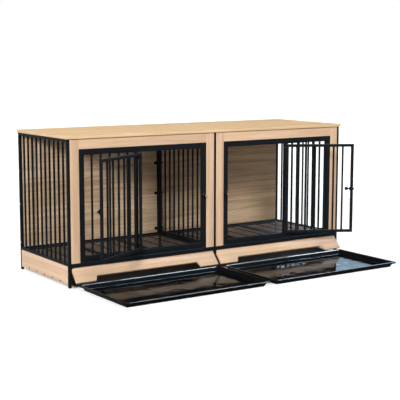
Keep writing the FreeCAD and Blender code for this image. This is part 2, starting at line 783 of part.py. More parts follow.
def build_door(side, sign):
    """The barred leaf: stiles, rails and bars, with the moving half of each hinge.

    It is drawn closed, from the hinge axis towards the middle of the crate.
    """
    to_free_edge = -sign
    parts = []
    for label, start in (("hinge", "leaf_start"),
                         ("free", "leaf_start + leaf_length - leaf_stile_width")):
        corner = (mirrored(to_free_edge, start, "leaf_stile_width"), "leaf_front", "leaf_bottom")
        size = ("leaf_stile_width", "leaf_thickness", "leaf_height")
        parts.append(block(f"LeafStile_{side}_{label}", size, corner))
    for label, bottom in (("low", "leaf_bottom"),
                          ("high", "leaf_bottom + leaf_height - leaf_rail_height")):
        start = "leaf_start + leaf_stile_width"
        corner = (mirrored(to_free_edge, start, "leaf_inner_length"), "leaf_front", bottom)
        size = ("leaf_inner_length", "leaf_thickness", "leaf_rail_height")
        parts.append(block(f"LeafRail_{side}_{label}", size, corner))
    for index in range(SIZES["door_bar_count"]):
        x = signed(to_free_edge, f"door_bar_first + {index} * door_bar_pitch")
        parts.append(rod(f"LeafBar_{side}_{index + 1}", "bar_radius", "leaf_bar_height",
                         (x, "leaf_mid", "leaf_bar_bottom")))
    for label, bottom in hinge_bottoms():
        rise = f"{bottom} + upper_knuckle_rise"
        parts.append(rod(f"LeafKnuckle_{side}_{label}", "knuckle_radius", "knuckle_length",
                         ("0", "0", rise)))
        corner = (mirrored(to_free_edge, "leaf_start", "hinge_web_width"), "0", rise)
        parts.append(block(f"LeafWeb_{side}_{label}",
                           ("hinge_web_width", "leaf_front", "knuckle_length"), corner))
    leaf = fuse(f"LeafSolid_{side}", parts)
    for label, bottom in hinge_bottoms():
        bore = rod(f"LeafBore_{side}_{label}", "hinge_pin_radius + running_clearance",
                   "knuckle_length + hinge_washer_gap + overrun",
                   ("0", "0", f"{bottom} + upper_knuckle_rise - hinge_washer_gap"))
        leaf = cut(f"LeafBored_{side}_{label}", leaf, bore)
    node(f"door_{side}", open_door(leaf, side, sign))


def build_bolt_housing(side, sign):
    """A diamond plate on the free stile with a bored block that guides the bolt."""
    to_free_edge = -sign
    plate = body(f"HousingPlate_{side}")
    drawing = sketch(plate, f"HousingDiamond_{side}", "XZ_Plane")
    add_diamond(drawing, "plate", "latch_plate_half_width", "latch_plate_half_height")
    pad(plate, f"HousingPad_{side}", drawing, "latch_plate_thickness", symmetric=True)
    place(plate, (signed(to_free_edge, "latch_x"),
                  "latch_face + latch_plate_thickness / 2", "latch_height"))
    corner = (mirrored(to_free_edge, "latch_block_x", "latch_block_length"),
              "latch_face - latch_block_depth", "latch_height - latch_block_side / 2")
    guide = block(f"BoltGuide_{side}",
                  ("latch_block_length", "latch_block_depth", "latch_block_side"), corner)
    solid = fuse(f"HousingSolid_{side}", [plate, guide])
    start = mirrored(to_free_edge, "latch_block_x - overrun", "latch_block_length + 2 * overrun")
    bore = rod(f"BoltBore_{side}", "latch_bolt_radius + running_clearance",
               "latch_block_length + 2 * overrun", (start, "latch_bolt_y", "latch_height"), "x")
    housing = cut(f"BoltHousing_{side}", solid, bore)
    node(f"bolt_housing_{side}", open_door(housing, side, sign))


def build_bolt(side, sign):
    """The sliding bolt with its round knob, which a hand moves sideways."""
    to_free_edge = -sign
    start = mirrored(to_free_edge, "latch_x - latch_bolt_tail", "latch_bolt_length")
    shank = rod(f"BoltShank_{side}", "latch_bolt_radius", "latch_bolt_length",
                (start, "latch_bolt_y", "latch_height"), "x")
    knob_x = signed(to_free_edge, "latch_x - latch_knob_place")
    stem = rod(f"BoltStem_{side}", "latch_knob_stem_radius",
               "latch_knob_reach - latch_knob_radius",
               (knob_x, "latch_bolt_y - latch_knob_reach + latch_knob_radius", "latch_height"),
               "y")
    ball = doc.addObject("Part::Sphere", f"BoltKnob_{side}")
    ball.setExpression("Radius", linked("latch_knob_radius"))
    place(ball, (knob_x, "latch_bolt_y - latch_knob_reach + latch_knob_radius", "latch_height"))
    bolt = fuse(f"Bolt_{side}", [shank, stem, ball])
    node(f"door_bolt_{side}", open_door(bolt, side, sign))


def build_keeper(side, sign):
    """A diamond plate and a bored staple on the jamb, which take the bolt's end."""
    plate = body(f"KeeperPlate_{side}")
    drawing = sketch(plate, f"KeeperDiamond_{side}", "XZ_Plane")
    add_diamond(drawing, "keeper", "keeper_half_width", "keeper_half_height")
    pad(plate, f"KeeperPad_{side}", drawing, "keeper_plate_thickness", symmetric=True)
    keeper_x = signed(sign, "keeper_out")
    place(plate, (keeper_x, "keeper_face + keeper_plate_thickness / 2", "latch_height"))
    node(f"keeper_plate_{side}", plate)
    reach = "keeper_face - staple_front"
    corner = (f"{keeper_x} - staple_width / 2", "staple_front",
              "latch_height - staple_height / 2")
    strap = block(f"StapleBlock_{side}", ("staple_width", reach, "staple_height"), corner)
    hole = rod(f"StapleHole_{side}", "latch_bolt_radius + staple_clearance",
               "staple_width + 2 * overrun",
               (f"{keeper_x} - staple_width / 2 - overrun", "bolt_line_y", "latch_height"), "x")
    node(f"keeper_staple_{side}", cut(f"KeeperStaple_{side}", strap, hole))


# Divider between the rooms

def screw_height(share):
    """A screw's height, at a share of the way from the lower rails to the upper ones."""
    return f"lower_rail_top + bar_height * {share}"


def build_divider():
    """A barred frame in one plane, bored for its three clamping screws."""
    face = "0 - divider_face"
    parts = []
    for label, y in (("front", "bay_front"), ("rear", "bay_front + bay_depth - divider_member")):
        parts.append(block(f"DividerStile_{label}",
                           ("divider_thickness", "divider_member", "bar_height"),
                           (face, y, "lower_rail_top")))
    for label, z in (("low", "lower_rail_top"), ("high", "upper_rail_bottom - divider_member")):
        parts.append(block(f"DividerRail_{label}",
                           ("divider_thickness", "divider_inner_depth", "divider_member"),
                           (face, "divider_inner_front", z)))
    for index in range(SIZES["divider_bar_count"]):
        y = f"divider_inner_front + {index + 1} * divider_bar_pitch"
        parts.append(rod(f"DividerBar_{index + 1}", "bar_radius", "divider_bar_height",
                         ("0", y, "divider_bar_bottom")))
    frame = fuse("DividerSolid", parts)
    for index, share in enumerate(SCREW_HEIGHT_SHARES, start=1):
        hole = rod(f"DividerHole_{index}", "divider_screw_radius",
                   "divider_thickness + 2 * overrun",
                   (f"{face} - overrun", "divider_screw_y", screw_height(share)), "x")
        frame = cut(f"DividerBored_{index}", frame, hole)
    node("divider", frame)


def build_divider_anchor():
    """A square tube beside the rear centre post that the divider is screwed to."""
    left = "0 - divider_face - divider_anchor_width"
    anchor = tube("DividerAnchor",
                  ("divider_anchor_width", "divider_anchor_depth", "bar_height"),
                  (left, "divider_anchor_y", "lower_rail_top"), "z")
    for index, share in enumerate(SCREW_HEIGHT_SHARES, start=1):
        hole = rod(f"AnchorHole_{index}", "divider_screw_radius",
                   "divider_anchor_width + 2 * overrun",
                   (f"{left} - overrun", "divider_screw_y", screw_height(share)), "x")
        anchor = cut(f"AnchorBored_{index}", anchor, hole)
    node("divider_anchor", anchor)


def build_divider_screws():
    """Knob screws through the anchor and the divider, with their nuts."""
    knobs = []
    nuts = []
    for index, share in enumerate(SCREW_HEIGHT_SHARES, start=1):
        height = screw_height(share)
        shank_length = "divider_knob_x + divider_face + divider_nut_length"
        shank = rod(f"KnobShank_{index}", "divider_screw_radius", shank_length,
                    ("0 - divider_knob_x", "divider_screw_y", height), "x")
        head = rod(f"KnobHead_{index}", "divider_knob_radius", "divider_knob_length",
                   ("0 - divider_knob_x - divider_knob_length", "divider_screw_y", height), "x")
        knobs.append(fuse(f"KnobScrew_{index}", [shank, head]))
        prism = doc.addObject("Part::Prism", f"NutPrism_{index}")
        prism.Polygon = 6
        prism.setExpression("Circumradius", linked("divider_nut_radius"))
        prism.setExpression("Height", linked("divider_nut_length"))
        place(prism, ("divider_face", "divider_screw_y", height), ALONG["x"])
        hole = rod(f"NutHole_{index}", "divider_screw_radius",
                   "divider_nut_length + 2 * overrun",
                   ("divider_face - overrun", "divider_screw_y", height), "x")
        nuts.append(cut(f"Nut_{index}", prism, hole))
    node("divider_knob_screws", group("KnobScrews", knobs))
    node("divider_nuts", group("DividerNuts", nuts))


# Floor grilles

def build_floor_grille(side, sign):
    """Two rails and six rods front to back, with thin cross wires on them."""
    parts = []
    for third in (1, 2):
        out = f"bay_inner + {third} * bay_width / 3 - floor_rail_width / 2"
        corner = (mirrored(sign, out, "floor_rail_width"), "bay_front",
                  "floor_top - floor_rail_height")
        size = ("floor_rail_width", "bay_depth", "floor_rail_height")
        parts.append(tube(f"FloorRail_{side}_{third}", size, corner, "y"))
    for ninth in (1, 2, 4, 5, 7, 8):
        x = signed(sign, f"bay_inner + {ninth} * floor_pitch")
        parts.append(rod(f"FloorRod_{side}_{ninth}", "floor_rod_radius", "bay_depth",
                         (x, "bay_front", "floor_rod_z"), "y"))
    start = mirrored(sign, "floor_wire_start", "floor_wire_length")
    for index in range(SIZES["floor_wire_count"]):
        spot = (start, f"floor_wire_y + {index} * floor_wire_pitch", "floor_wire_z")
        parts.append(rod(f"FloorWire_{side}_{index + 1}", "floor_wire_radius",
                         "floor_wire_length", spot, "x"))
    node(f"floor_grille_{side}", group(f"FloorGrille_{side}", parts))


# Trays

def build_tray(side, sign):
    """A shallow moulded tray: sloping walls, a flat rim and a turned-down lip."""
    tray = body(f"Tray_{side}")

    def level(name, lift, width, depth, radius):
        drawing = sketch(tray, f"{name}_{side}", "XY_Plane", lift)
        add_rounded_rectangle(drawing, "edge", width, depth, radius)
        return drawing

    base = level("TrayBase", "0", "tray_base_width", "tray_base_depth", "tray_base_radius")
    upper = level("TrayUpper", "tray_flange_bottom", "tray_top_width", "tray_top_depth",
                  "tray_top_radius")
    wall = tray.newObject("PartDesign::AdditiveLoft", f"TrayWall_{side}")
    wall.Profile = base
    wall.Sections = [upper]
    wall.Ruled = True
    rim = level("TrayRim", "tray_flange_bottom", "tray_width", "tray_depth", "tray_corner_radius")
    pad(tray, f"TrayFlange_{side}", rim, "tray_flange_thickness")
    lip = level("TrayLip", "tray_lip_bottom", "tray_width", "tray_depth", "tray_corner_radius")
    add_rounded_rectangle(lip, "inner", "tray_lip_inner_width", "tray_lip_inner_depth",
                          "tray_lip_inner_radius")
    pad(tray, f"TrayLipPad_{side}", lip, "tray_lip_drop")
    floor = level("TrayFloor", "tray_wall", "tray_inner_base_width", "tray_inner_base_depth",
                  "tray_inner_base_radius")
    mouth = level("TrayMouth", "tray_height", "tray_inner_top_width", "tray_inner_top_depth",
                  "tray_inner_top_radius")
    hollow = tray.newObject("PartDesign::SubtractiveLoft", f"TrayHollow_{side}")
    hollow.Profile = floor
    hollow.Sections = [mouth]
    hollow.Ruled = True
    node(f"tray_{side}", place(tray, (signed(sign, "tray_out"), "tray_y", "0")))


# Kick boards

def build_kick_board(side, sign):
    """A low board with a wide notch in its lower edge, tilted out about its top."""
    board = body(f"KickBoard_{side}")
    face = sketch(board, f"KickFace_{side}", "XZ_Plane")
    add_outline(face, "kick", (
        ("0", "0"), ("kick_notch_low_a", "0"), ("kick_notch_high_a", "kick_notch_depth"),
        ("kick_notch_high_b", "kick_notch_depth"), ("kick_notch_low_b", "0"),
        ("kick_width", "0"), ("kick_width", "kick_height"), ("0", "kick_height")))
    pad(board, f"KickPad_{side}", face, "kick_thickness", symmetric=True)
    place(board, (mirrored(sign, "kick_start", "kick_width"), "0", "0 - kick_drop"))
    bored = board
    for label, start in (("inner", "bay_inner"), ("outer", "kick_pin_out_end")):
        hole = rod(f"KickBore_{side}_{label}", "kick_pin_radius", "kick_pin_length",
                   (mirrored(sign, start, "kick_pin_length"), "0", "0"), "x")
        bored = cut(f"KickBored_{side}_{label}", bored, hole)
    node(f"kick_board_{side}", tilt_kick(bored))


def tilt_kick(thing):
    """Tilts a piece that was built on the kick board's pivot line."""
    place(thing, ("0", "kick_pivot_y", "kick_pivot_z"), FreeCAD.Rotation())
    thing.Placement.Rotation = FreeCAD.Rotation(Vector(1, 0, 0), -1)
    thing.setExpression("Placement.Rotation.Angle", linked("0 - kick_tilt"))
    return thing


def build_kick_pins(side, sign):
    """The two stub pins that a kick board turns on."""
    pins = []
    for label, start in (("inner", "bay_inner"), ("outer", "kick_pin_out_end")):
        pins.append(rod(f"KickPin_{side}_{label}", "kick_pin_radius", "kick_pin_length",
                        (mirrored(sign, start, "kick_pin_length"), "kick_pivot_y",
                         "kick_pivot_z"), "x"))
    node(f"kick_pins_{side}", group(f"KickPins_{side}", pins))


def build_kick_plates(side, sign):
    """Bored plates under the lower rail, one at each end of the kick board."""
    plates = []
    for label, start in (("inner", "bay_inner"),
                         ("outer", "bay_inner + bay_width - kick_plate_thickness")):
        corner = (mirrored(sign, start, "kick_plate_thickness"), "kick_plate_front",
                  "kick_plate_bottom")
        size = ("kick_plate_thickness", "2 * kick_plate_half_depth", "kick_plate_height")
        plate = block(f"KickPlateBlock_{side}_{label}", size, corner)
        start_x = mirrored(sign, f"{start} - overrun", "kick_plate_thickness + 2 * overrun")
        hole = rod(f"KickPlateHole_{side}_{label}", "kick_pin_radius + running_clearance",
                   "kick_plate_thickness + 2 * overrun",
                   (start_x, "kick_pivot_y", "kick_pivot_z"), "x")
        plates.append(cut(f"KickPlate_{side}_{label}", plate, hole))
    node(f"kick_hinge_plates_{side}", group(f"KickPlates_{side}", plates))


def build_kick_catches():
    """Two-pronged clips on the posts that the closed kick boards rest against."""
    clips = []
    for side, sign in SIDES.items():
        for label, start, back in (("inner", "bay_inner", "bay_inner"),
                                   ("outer", "bay_inner + bay_width - catch_length",
                                    "bay_inner + bay_width - catch_back")):
            parts = []
            for name, rise in (("low", "0"), ("high", "catch_spacing")):
                corner = (mirrored(sign, start, "catch_length"), "catch_front",
                          f"catch_bottom + {rise}")
                parts.append(block(f"Prong_{side}_{label}_{name}",
                                   ("catch_length", "catch_depth", "catch_prong"), corner))
            corner = (mirrored(sign, back, "catch_back"), "half_post - catch_depth",
                      "catch_bottom")
            size = ("catch_back", "catch_front + 2 * catch_depth - half_post",
                    "catch_spacing + catch_prong")
            parts.append(block(f"ClipBack_{side}_{label}", size, corner))
            clips.append(fuse(f"Clip_{side}_{label}", parts))
    node("kick_catches", group("KickCatches", clips))


# Fasteners

def round_head(name, radius, height, spot, sign):
    """A round, flat-topped screw head that stands out from a side face."""
    x, y, z = spot
    return rod(name, radius, height, (mirrored(sign, x, height), y, z), "x")


def build_post_bolts():
    """Bolt heads on the outer faces of the rear corner posts."""
    heads = []
    for side, sign in SIDES.items():
        for index, share in enumerate(SCREW_HEIGHT_SHARES, start=1):
            spot = ("frame_width / 2", "rear_y", screw_height(share))
            heads.append(round_head(f"PostBolt_{side}_{index}", "bolt_head_radius",
                                    "bolt_head_height", spot, sign))
    node("post_bolts", group("PostBolts", heads))


def build_skirt_screws():
    """Five dark screws along the lower edge of each side skirt."""
    heads = []
    for side, sign in SIDES.items():
        for index in range(SIZES["skirt_screw_count"]):
            y = f"skirt_screw_y + {index} * skirt_screw_pitch"
            spot = ("frame_width / 2", y, "skirt_screw_z")
            heads.append(round_head(f"SkirtScrew_{side}_{index + 1}", "skirt_screw_radius",
                                    "skirt_screw_height", spot, sign))
    node("skirt_screws", group("SkirtScrews", heads))


for post_label, post_spot in POSTS.items():
    build_post(post_label, post_spot)
build_feet()
build_bay_rails()
build_front_strips()
build_centre_rails()
build_top_board()
build_divider()
build_divider_anchor()
build_divider_screws()
build_kick_catches()
build_post_bolts()
build_skirt_screws()
for side_name, side_sign in SIDES.items():
    build_side_grille(side_name, side_sign)
    build_front_boards(side_name, side_sign)
    build_skirts(side_name, side_sign)
    build_back_panel(side_name, side_sign)
    build_door_frame(side_name, side_sign)
    build_hinge_brackets(side_name, side_sign)
    build_hinge_pins(side_name, side_sign)
    build_door(side_name, side_sign)
    build_bolt_housing(side_name, side_sign)
    build_bolt(side_name, side_sign)
    build_keeper(side_name, side_sign)
    build_floor_grille(side_name, side_sign)
    build_tray(side_name, side_sign)
    build_kick_board(side_name, side_sign)
    build_kick_pins(side_name, side_sign)
    build_kick_plates(side_name, side_sign)

doc.recompute()

# Checks, then one file for each sub-part

for item in doc.Objects:
    if "Invalid" in item.State or "Error" in item.State:
        raise RuntimeError(f"{item.Name} failed: {item.State}")
for node_label, item in nodes.items():
    if item.Shape.isNull() or not item.Shape.isValid():
        raise RuntimeError(f"{node_label} has no valid shape")

os.makedirs("parts", exist_ok=True)
for node_label, item in nodes.items():
    item.Shape.exportStep(f"parts/{node_label}.step")
    print(f"{node_label}: {len(item.Shape.Solids)} solids, {item.Shape.Volume / 1000:.1f} cm3")
print(f"{len(nodes)} sub-parts")
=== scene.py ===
# %% [markdown]
# # A double dog crate
# The crate has a black steel frame, oak-pattern boards, two barred doors, a barred divider
# and two shallow plastic trays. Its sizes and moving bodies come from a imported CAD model,
# which this script loads as a fixed frame. Every piece below is a smooth, detailed surface
# that stands exactly where its CAD solid stands, so that the doors, bolts, trays and low
# front boards still move as they should.

# %% Load the frame
import math
from functools import partial

import bpy
import numpy as np
from mathutils import Matrix, Vector


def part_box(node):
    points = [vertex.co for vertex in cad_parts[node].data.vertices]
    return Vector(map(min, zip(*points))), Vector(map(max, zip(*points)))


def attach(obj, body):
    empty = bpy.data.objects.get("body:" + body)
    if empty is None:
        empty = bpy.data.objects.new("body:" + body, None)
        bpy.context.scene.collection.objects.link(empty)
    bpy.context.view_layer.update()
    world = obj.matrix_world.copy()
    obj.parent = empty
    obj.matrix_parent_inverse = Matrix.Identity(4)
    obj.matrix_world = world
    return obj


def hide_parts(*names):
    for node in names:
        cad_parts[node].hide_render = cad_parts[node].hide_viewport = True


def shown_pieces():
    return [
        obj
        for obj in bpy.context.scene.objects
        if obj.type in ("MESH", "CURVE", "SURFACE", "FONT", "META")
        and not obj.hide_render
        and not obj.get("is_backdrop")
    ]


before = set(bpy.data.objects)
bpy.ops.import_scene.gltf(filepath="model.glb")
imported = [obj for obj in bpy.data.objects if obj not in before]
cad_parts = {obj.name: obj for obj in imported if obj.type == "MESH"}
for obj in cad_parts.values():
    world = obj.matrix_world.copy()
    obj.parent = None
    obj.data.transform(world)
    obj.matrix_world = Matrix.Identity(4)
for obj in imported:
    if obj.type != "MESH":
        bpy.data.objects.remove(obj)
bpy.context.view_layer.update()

MM = 0.001
scene = bpy.context.scene

# %% [markdown]
# ## The camera
# The crate stands a little turned, seen from the left and from slightly above. A long lens
# from five metres away keeps its edges nearly parallel. The place and turn were worked out
# from the crate's own straight edges in the picture, so they are plain numbers here; aiming
# by eye with a Track To constraint would have been quicker but less exact.

# %% Camera


def add_object(name, data):
    """A new object in the scene, which shows the data."""
    made = bpy.data.objects.new(name, data)
    scene.collection.objects.link(made)
    return made


SENSOR_WIDTH, FOCAL_PIXELS, PICTURE_WIDTH = 36, 1010.15, 400
camera_data = bpy.data.cameras.new("crate_camera")
camera_data.sensor_width = SENSOR_WIDTH
camera_data.lens = SENSOR_WIDTH * FOCAL_PIXELS / PICTURE_WIDTH
camera_data.clip_end = 200
camera = add_object("crate_camera", camera_data)
camera_turn = (Matrix.Rotation(math.radians(-34.1653), 4, "Z")
               @ Matrix.Rotation(math.radians(90 - 7.8938), 4, "X")
               @ Matrix.Rotation(math.radians(0.075), 4, "Z"))
camera.matrix_world = Matrix.Translation((-3.1660, -4.5246, 1.1504)) @ camera_turn
scene.camera = camera
print("camera lens in millimetres:", round(camera_data.lens, 2))

# %% [markdown]
# ## Surfaces as grids
# Tubes, bars, boards, knobs and pins are all the same idea: a closed outline that is carried
# along a line, and drawn in a little at both ends so that no edge is knife-sharp. A cube
# with a Bevel modifier would do for a board, but not for a tube, a knob or a notched board,
# so one family of functions makes them all. An outline is an array of points, a station
# is a distance along the line with an inset, and a solid is the grid of both.

# %% Outlines


def round_outline(radius, points=16):
    """A circle: the radius times cosine and sine of evenly spaced angles."""
    turn = np.linspace(0, 2 * np.pi, points, endpoint=False)
    return radius * np.stack([np.cos(turn), np.sin(turn)], axis=1)


def rounded_box_outline(width, height, radius, steps=3):
    """A rectangle whose corners are quarter circles, each centred one radius in."""
    turn = np.linspace(0, np.pi / 2, steps + 1)[None, :] + np.arange(4)[:, None] * np.pi / 2
    signs = np.array([[1, 1], [-1, 1], [-1, -1], [1, -1]])
    centre = signs * (np.array([width, height]) / 2 - radius)
    arcs = centre[:, None, :] + radius * np.stack([np.cos(turn), np.sin(turn)], axis=2)
    return arcs.reshape(-1, 2)


def drawn_in(outline, inset):
    """An outline moved inwards: each corner slides along the mitre of its two edges."""
    ahead = np.roll(outline, -1, axis=0) - outline
    ahead /= np.linalg.norm(ahead, axis=1, keepdims=True)
    normal = np.stack([-ahead[:, 1], ahead[:, 0]], axis=1)
    before = np.roll(normal, 1, axis=0)
    mitre = (normal + before) / (1 + np.sum(normal * before, axis=1, keepdims=True))
    return outline + inset * mitre


print("a tube's outline has", len(rounded_box_outline(15, 15, 1.8, 4)), "points")

# %% Solids as arrays
# A solid is a tuple: the points, the four-sided faces, and the end faces.


def grid_solid(rings):
    """Joins rings of points, one after another along a line, and closes both ends.

    Point j of ring k is number k times the ring's length plus j.
    """
    count, around = rings.shape[:2]
    number = np.arange(count * around).reshape(count, around)
    ahead = np.roll(number, -1, axis=1)
    quads = np.stack([number[:-1], ahead[:-1], ahead[1:], number[1:]], axis=2).reshape(-1, 4)
    return rings.reshape(-1, 3), quads, [number[0][::-1], number[-1]]


def both_ends(length, along, inset):
    """Stations near the start of a bar, and the same ones back from its end."""
    return np.concatenate([np.column_stack([along, inset]),
                           np.column_stack([length - along, inset])[::-1]])


def stations(length, rounding, steps=3):
    """Distances and insets of a bar whose ends are rounded by a quarter circle."""
    turn = np.linspace(0, np.pi / 2, steps + 1)
    return both_ends(length, rounding * (1 - np.cos(turn)), rounding * (1 - np.sin(turn)))


def carried(outline, places):
    """Rings of an outline carried along the third axis, inset at each place as it says."""
    return np.stack([np.column_stack([drawn_in(outline, inset),
                                      np.full(len(outline), along)])
                     for along, inset in places])


def axes_along(name):
    """Right-handed axes whose third one points along X, Y or Z, or else towards -Y."""
    if name == "-y":
        return np.array([[1, 0, 0], [0, 0, 1], [0, -1, 0]], float)
    return np.roll(np.eye(3), -1 - "xyz".index(name), axis=0)


def set_down(rings, start, along):
    """Puts rings at a start point, with their third axis along the one that is named."""
    return np.asarray(start, float) + rings @ axes_along(along)


print("a bar's rounded ends take", len(stations(600, 1.0)), "stations")

# %% Boards, tubes and bars


def board(low, high, rounding=1.0, along=None, corner_steps=3, ends=None):
    """A box between two corners, in millimetres, with all its edges rounded.

    Its ends are rounded almost as much as its long edges, or else as ends says, which
    holds what stations() takes after the length.
    """
    low, high = np.asarray(low, float), np.asarray(high, float)
    size = high - low
    along = along or "xyz"[int(np.argmax(size))]
    axes = axes_along(along)
    across, up, length = axes @ size
    rounding = min(rounding, across / 2.2, up / 2.2)
    outline = rounded_box_outline(across, up, rounding, corner_steps)
    rings = carried(outline, stations(length, *(ends or (rounding * 0.98,))))
    start = (low + high) / 2 - axes[2] * length / 2
    return grid_solid(set_down(rings, start, along))


def square_tube(low, high, radius=1.8):
    """A tube as seen from outside: round long corners, plain cut ends."""
    return board(low, high, radius, corner_steps=4, ends=(0.3, 1))


def rod(start, length, radius, along="z", rounding=0.6, points=16):
    """A round bar with softened ends."""
    rings = carried(round_outline(radius, points), stations(length, rounding, 2))
    return grid_solid(set_down(rings, start, along))


def several(solid, offsets):
    """Copies of one solid, moved by each offset; the point numbers step on by copy."""
    points, quads, ends = solid
    offsets = np.asarray(offsets, float)
    moved = (points[None] + offsets[:, None]).reshape(-1, 3)
    step = np.arange(len(offsets)) * len(points)
    many = (quads[None] + step[:, None, None]).reshape(-1, 4)
    return moved, many, [end + jump for jump in step for end in ends]


def welded_bars(places, length, radius=5.6, flare=1.1, reach=2.6):
    """Upright round bars that widen at each end into the weld, by a falling square law."""
    step = np.linspace(0, 1, 4)
    widths = both_ends(length, reach * step, -flare * (1 - step) ** 2)
    return several(grid_solid(carried(round_outline(radius, 14), widths)), places)


def turned(profile, start, along="z", points=20, ripple=None):
    """A turned shape: each (distance, radius) of the profile becomes a circle.

    A ripple function of the angle and the station number scales each radius.
    """
    profile = np.asarray(profile, float)
    radii = np.repeat(profile[:, 1:], points, axis=1)
    if ripple is not None:
        turn = np.linspace(0, 2 * np.pi, points, endpoint=False)
        radii = radii * ripple(turn, np.arange(len(profile))[:, None])
    flat = round_outline(1.0, points) * radii[:, :, None]
    height = np.broadcast_to(profile[:, :1, None], (len(profile), points, 1))
    return grid_solid(set_down(np.concatenate([flat, height], axis=2), start, along))


def mirrored(solid):
    """The same solid on the other side of X = 0, with each face's order turned back."""
    points, quads, ends = solid
    return points * [-1, 1, 1], quads[:, ::-1], [end[::-1] for end in ends]


def spun(solid, pivot, axis, degrees):
    """A solid turned about a line through the pivot, along X or Z."""
    points, quads, ends = solid
    cosine, sine = math.cos(math.radians(degrees)), math.sin(math.radians(degrees))
    turn = np.array([[cosine, sine, 0], [-sine, cosine, 0], [0, 0, 1]])
    axes = axes_along(axis)
    return points @ (axes.T @ turn @ axes) + np.asarray(pivot, float), quads, ends


trial = board((0, 0, 0), (60, 12, 600))
print("a board takes", len(trial[0]), "points")

# %% Pieces from solids


def piece(material, finish, name, solids, stands_for, body="crate", sharp=32):
    """One named mesh, in metres, that rides on a body and stands for its CAD nodes."""
    mesh = bpy.data.meshes.new(name)
    points, faces, count = [], [], 0
    for solid_points, quads, ends in solids:
        points.append(solid_points)
        faces += (quads + count).tolist() + [(end + count).tolist() for end in ends]
        count += len(solid_points)
    mesh.from_pydata((np.concatenate(points) * MM).tolist(), [], faces)
    mesh.shade_smooth()
    mesh.set_sharp_from_angle(angle=math.radians(sharp))
    mesh.materials.append(material)
    made = add_object(name, mesh)
    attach(made, body)
    if stands_for:
        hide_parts(*stands_for)
    return made


def flipped(solids):
    """The mirror of each solid in a list."""
    return [mirrored(solid) for solid in solids]


# Everything is worked out for the left room, at negative X; the right one is its mirror.
SIDES = (("left", list), ("right", flipped))
print("bodies to ride on: crate, and a door, bolt, tray and kick board for each side")

# %% [markdown]
# ## Finishes
# Oak-pattern board, powder coat and moulded plastic all need variation at several sizes.
# Painting pictures for them would tie the look to one board, so each is a formula over
# Object coordinates, in metres. What two finishes share is a node group with named inputs.

# %% Small helpers for node groups


def new_group(name, shares, outputs):
    """A shader node group that takes a Vector and some numbers, and puts out numbers."""
    tree = bpy.data.node_groups.new(name, "ShaderNodeTree")
    add = tree.interface.new_socket
    add("Vector", in_out="INPUT", socket_type="NodeSocketVector")
    for label in shares:
        add(label, in_out="INPUT", socket_type="NodeSocketFloat").default_value = 0.5
    for label in outputs:
        add(label, in_out="OUTPUT", socket_type="NodeSocketFloat")
    return tree, tree.nodes.new("NodeGroupInput"), tree.nodes.new("NodeGroupOutput")


def new_node(tree, kind, group=None, **values):
    """A shader node, which may hold a group, with start values for its inputs, by name."""
    node = tree.nodes.new("ShaderNode" + kind)
    if group:
        node.node_tree = group
    for label, value in values.items():
        node.inputs[label].default_value = value
    return node


def link(output, socket):
    """Joins a node's output to an input socket of the same tree."""
    socket.id_data.links.new(output, socket)


def math_node(tree, operation, first, second=None):
    """A Math node; each term is a socket or a number."""
    node = new_node(tree, "Math")
    node.operation = operation
    for socket, term in zip(node.inputs, (first, second)):
        if isinstance(term, (int, float)):
            socket.default_value = term
        elif term is not None:
            link(term, socket)
    return node.outputs[0]


def stretched(tree, vector, scale):
    """The vector times a scale along each axis."""
    node = new_node(tree, "VectorMath")
    node.operation = "MULTIPLY"
    link(vector, node.inputs[0])
    node.inputs[1].default_value = scale
    return node.outputs[0]


def noise(tree, vector, scale, detail=2.0, roughness=0.5, distortion=0.0):
    """Smooth random values between nought and one, a scale's worth of lumps to the metre."""
    node = new_node(tree, "TexNoise", Scale=scale, Detail=detail, Roughness=roughness,
                    Distortion=distortion)
    link(vector, node.inputs["Vector"])
    return node.outputs["Fac"]


def limited(tree, value, low, high, new_low=0.0, new_high=1.0):
    """Maps a range of values onto another one and keeps it there."""
    node = new_node(tree, "MapRange", **{"From Min": low, "From Max": high,
                                         "To Min": new_low, "To Max": new_high})
    node.interpolation_type = "SMOOTHSTEP"
    link(value, node.inputs["Value"])
    return node.outputs["Result"]


print("a pattern is built from noise, stretched, limited and math_node in a new_group")

# %% [markdown]
# ### Oak grain
# The boards are faced with a printed oak. Its grain runs almost straight along each board:
# broad soft bands, narrower streaks in them, and fine fibres with short dark pores. Here
# and there the growth rings close into a long flat arch. A Wave texture looks like
# corrugated card and plain noise looks like cloud, so each layer is noise drawn out twelve
# times or more along the board, and all of it sways together a little.

# %% Oak grain: straight layers
grain_tree, grain_in, grain_out = new_group(
    "oak_grain", ("Bands", "Streaks", "Arches", "Pores"), ("Tone", "Blush", "Pore", "Height"))
grain_math = partial(math_node, grain_tree)


def drawn_out(vector, scale, detail, roughness=0.5):
    """Noise with its own scale along each axis."""
    return noise(grain_tree, stretched(grain_tree, vector, scale), 1.0, detail, roughness)


straight = grain_in.outputs["Vector"]
sway = drawn_out(straight, (1.1, 4.0, 4.0), 1.0)
sideways = new_node(grain_tree, "CombineXYZ")
for axis in ("Y", "Z"):
    link(grain_math("MULTIPLY", sway, 0.05), sideways.inputs[axis])
swayed = new_node(grain_tree, "VectorMath")
link(straight, swayed.inputs[0])
link(sideways.outputs[0], swayed.inputs[1])
vector = swayed.outputs[0]


def layer(along, across, detail, low, high):
    """Noise drawn out along the board, spread evenly between minus and plus a half."""
    shape = drawn_out(vector, (along, across, across), detail)
    return limited(grain_tree, shape, low, high, -0.5, 0.5)


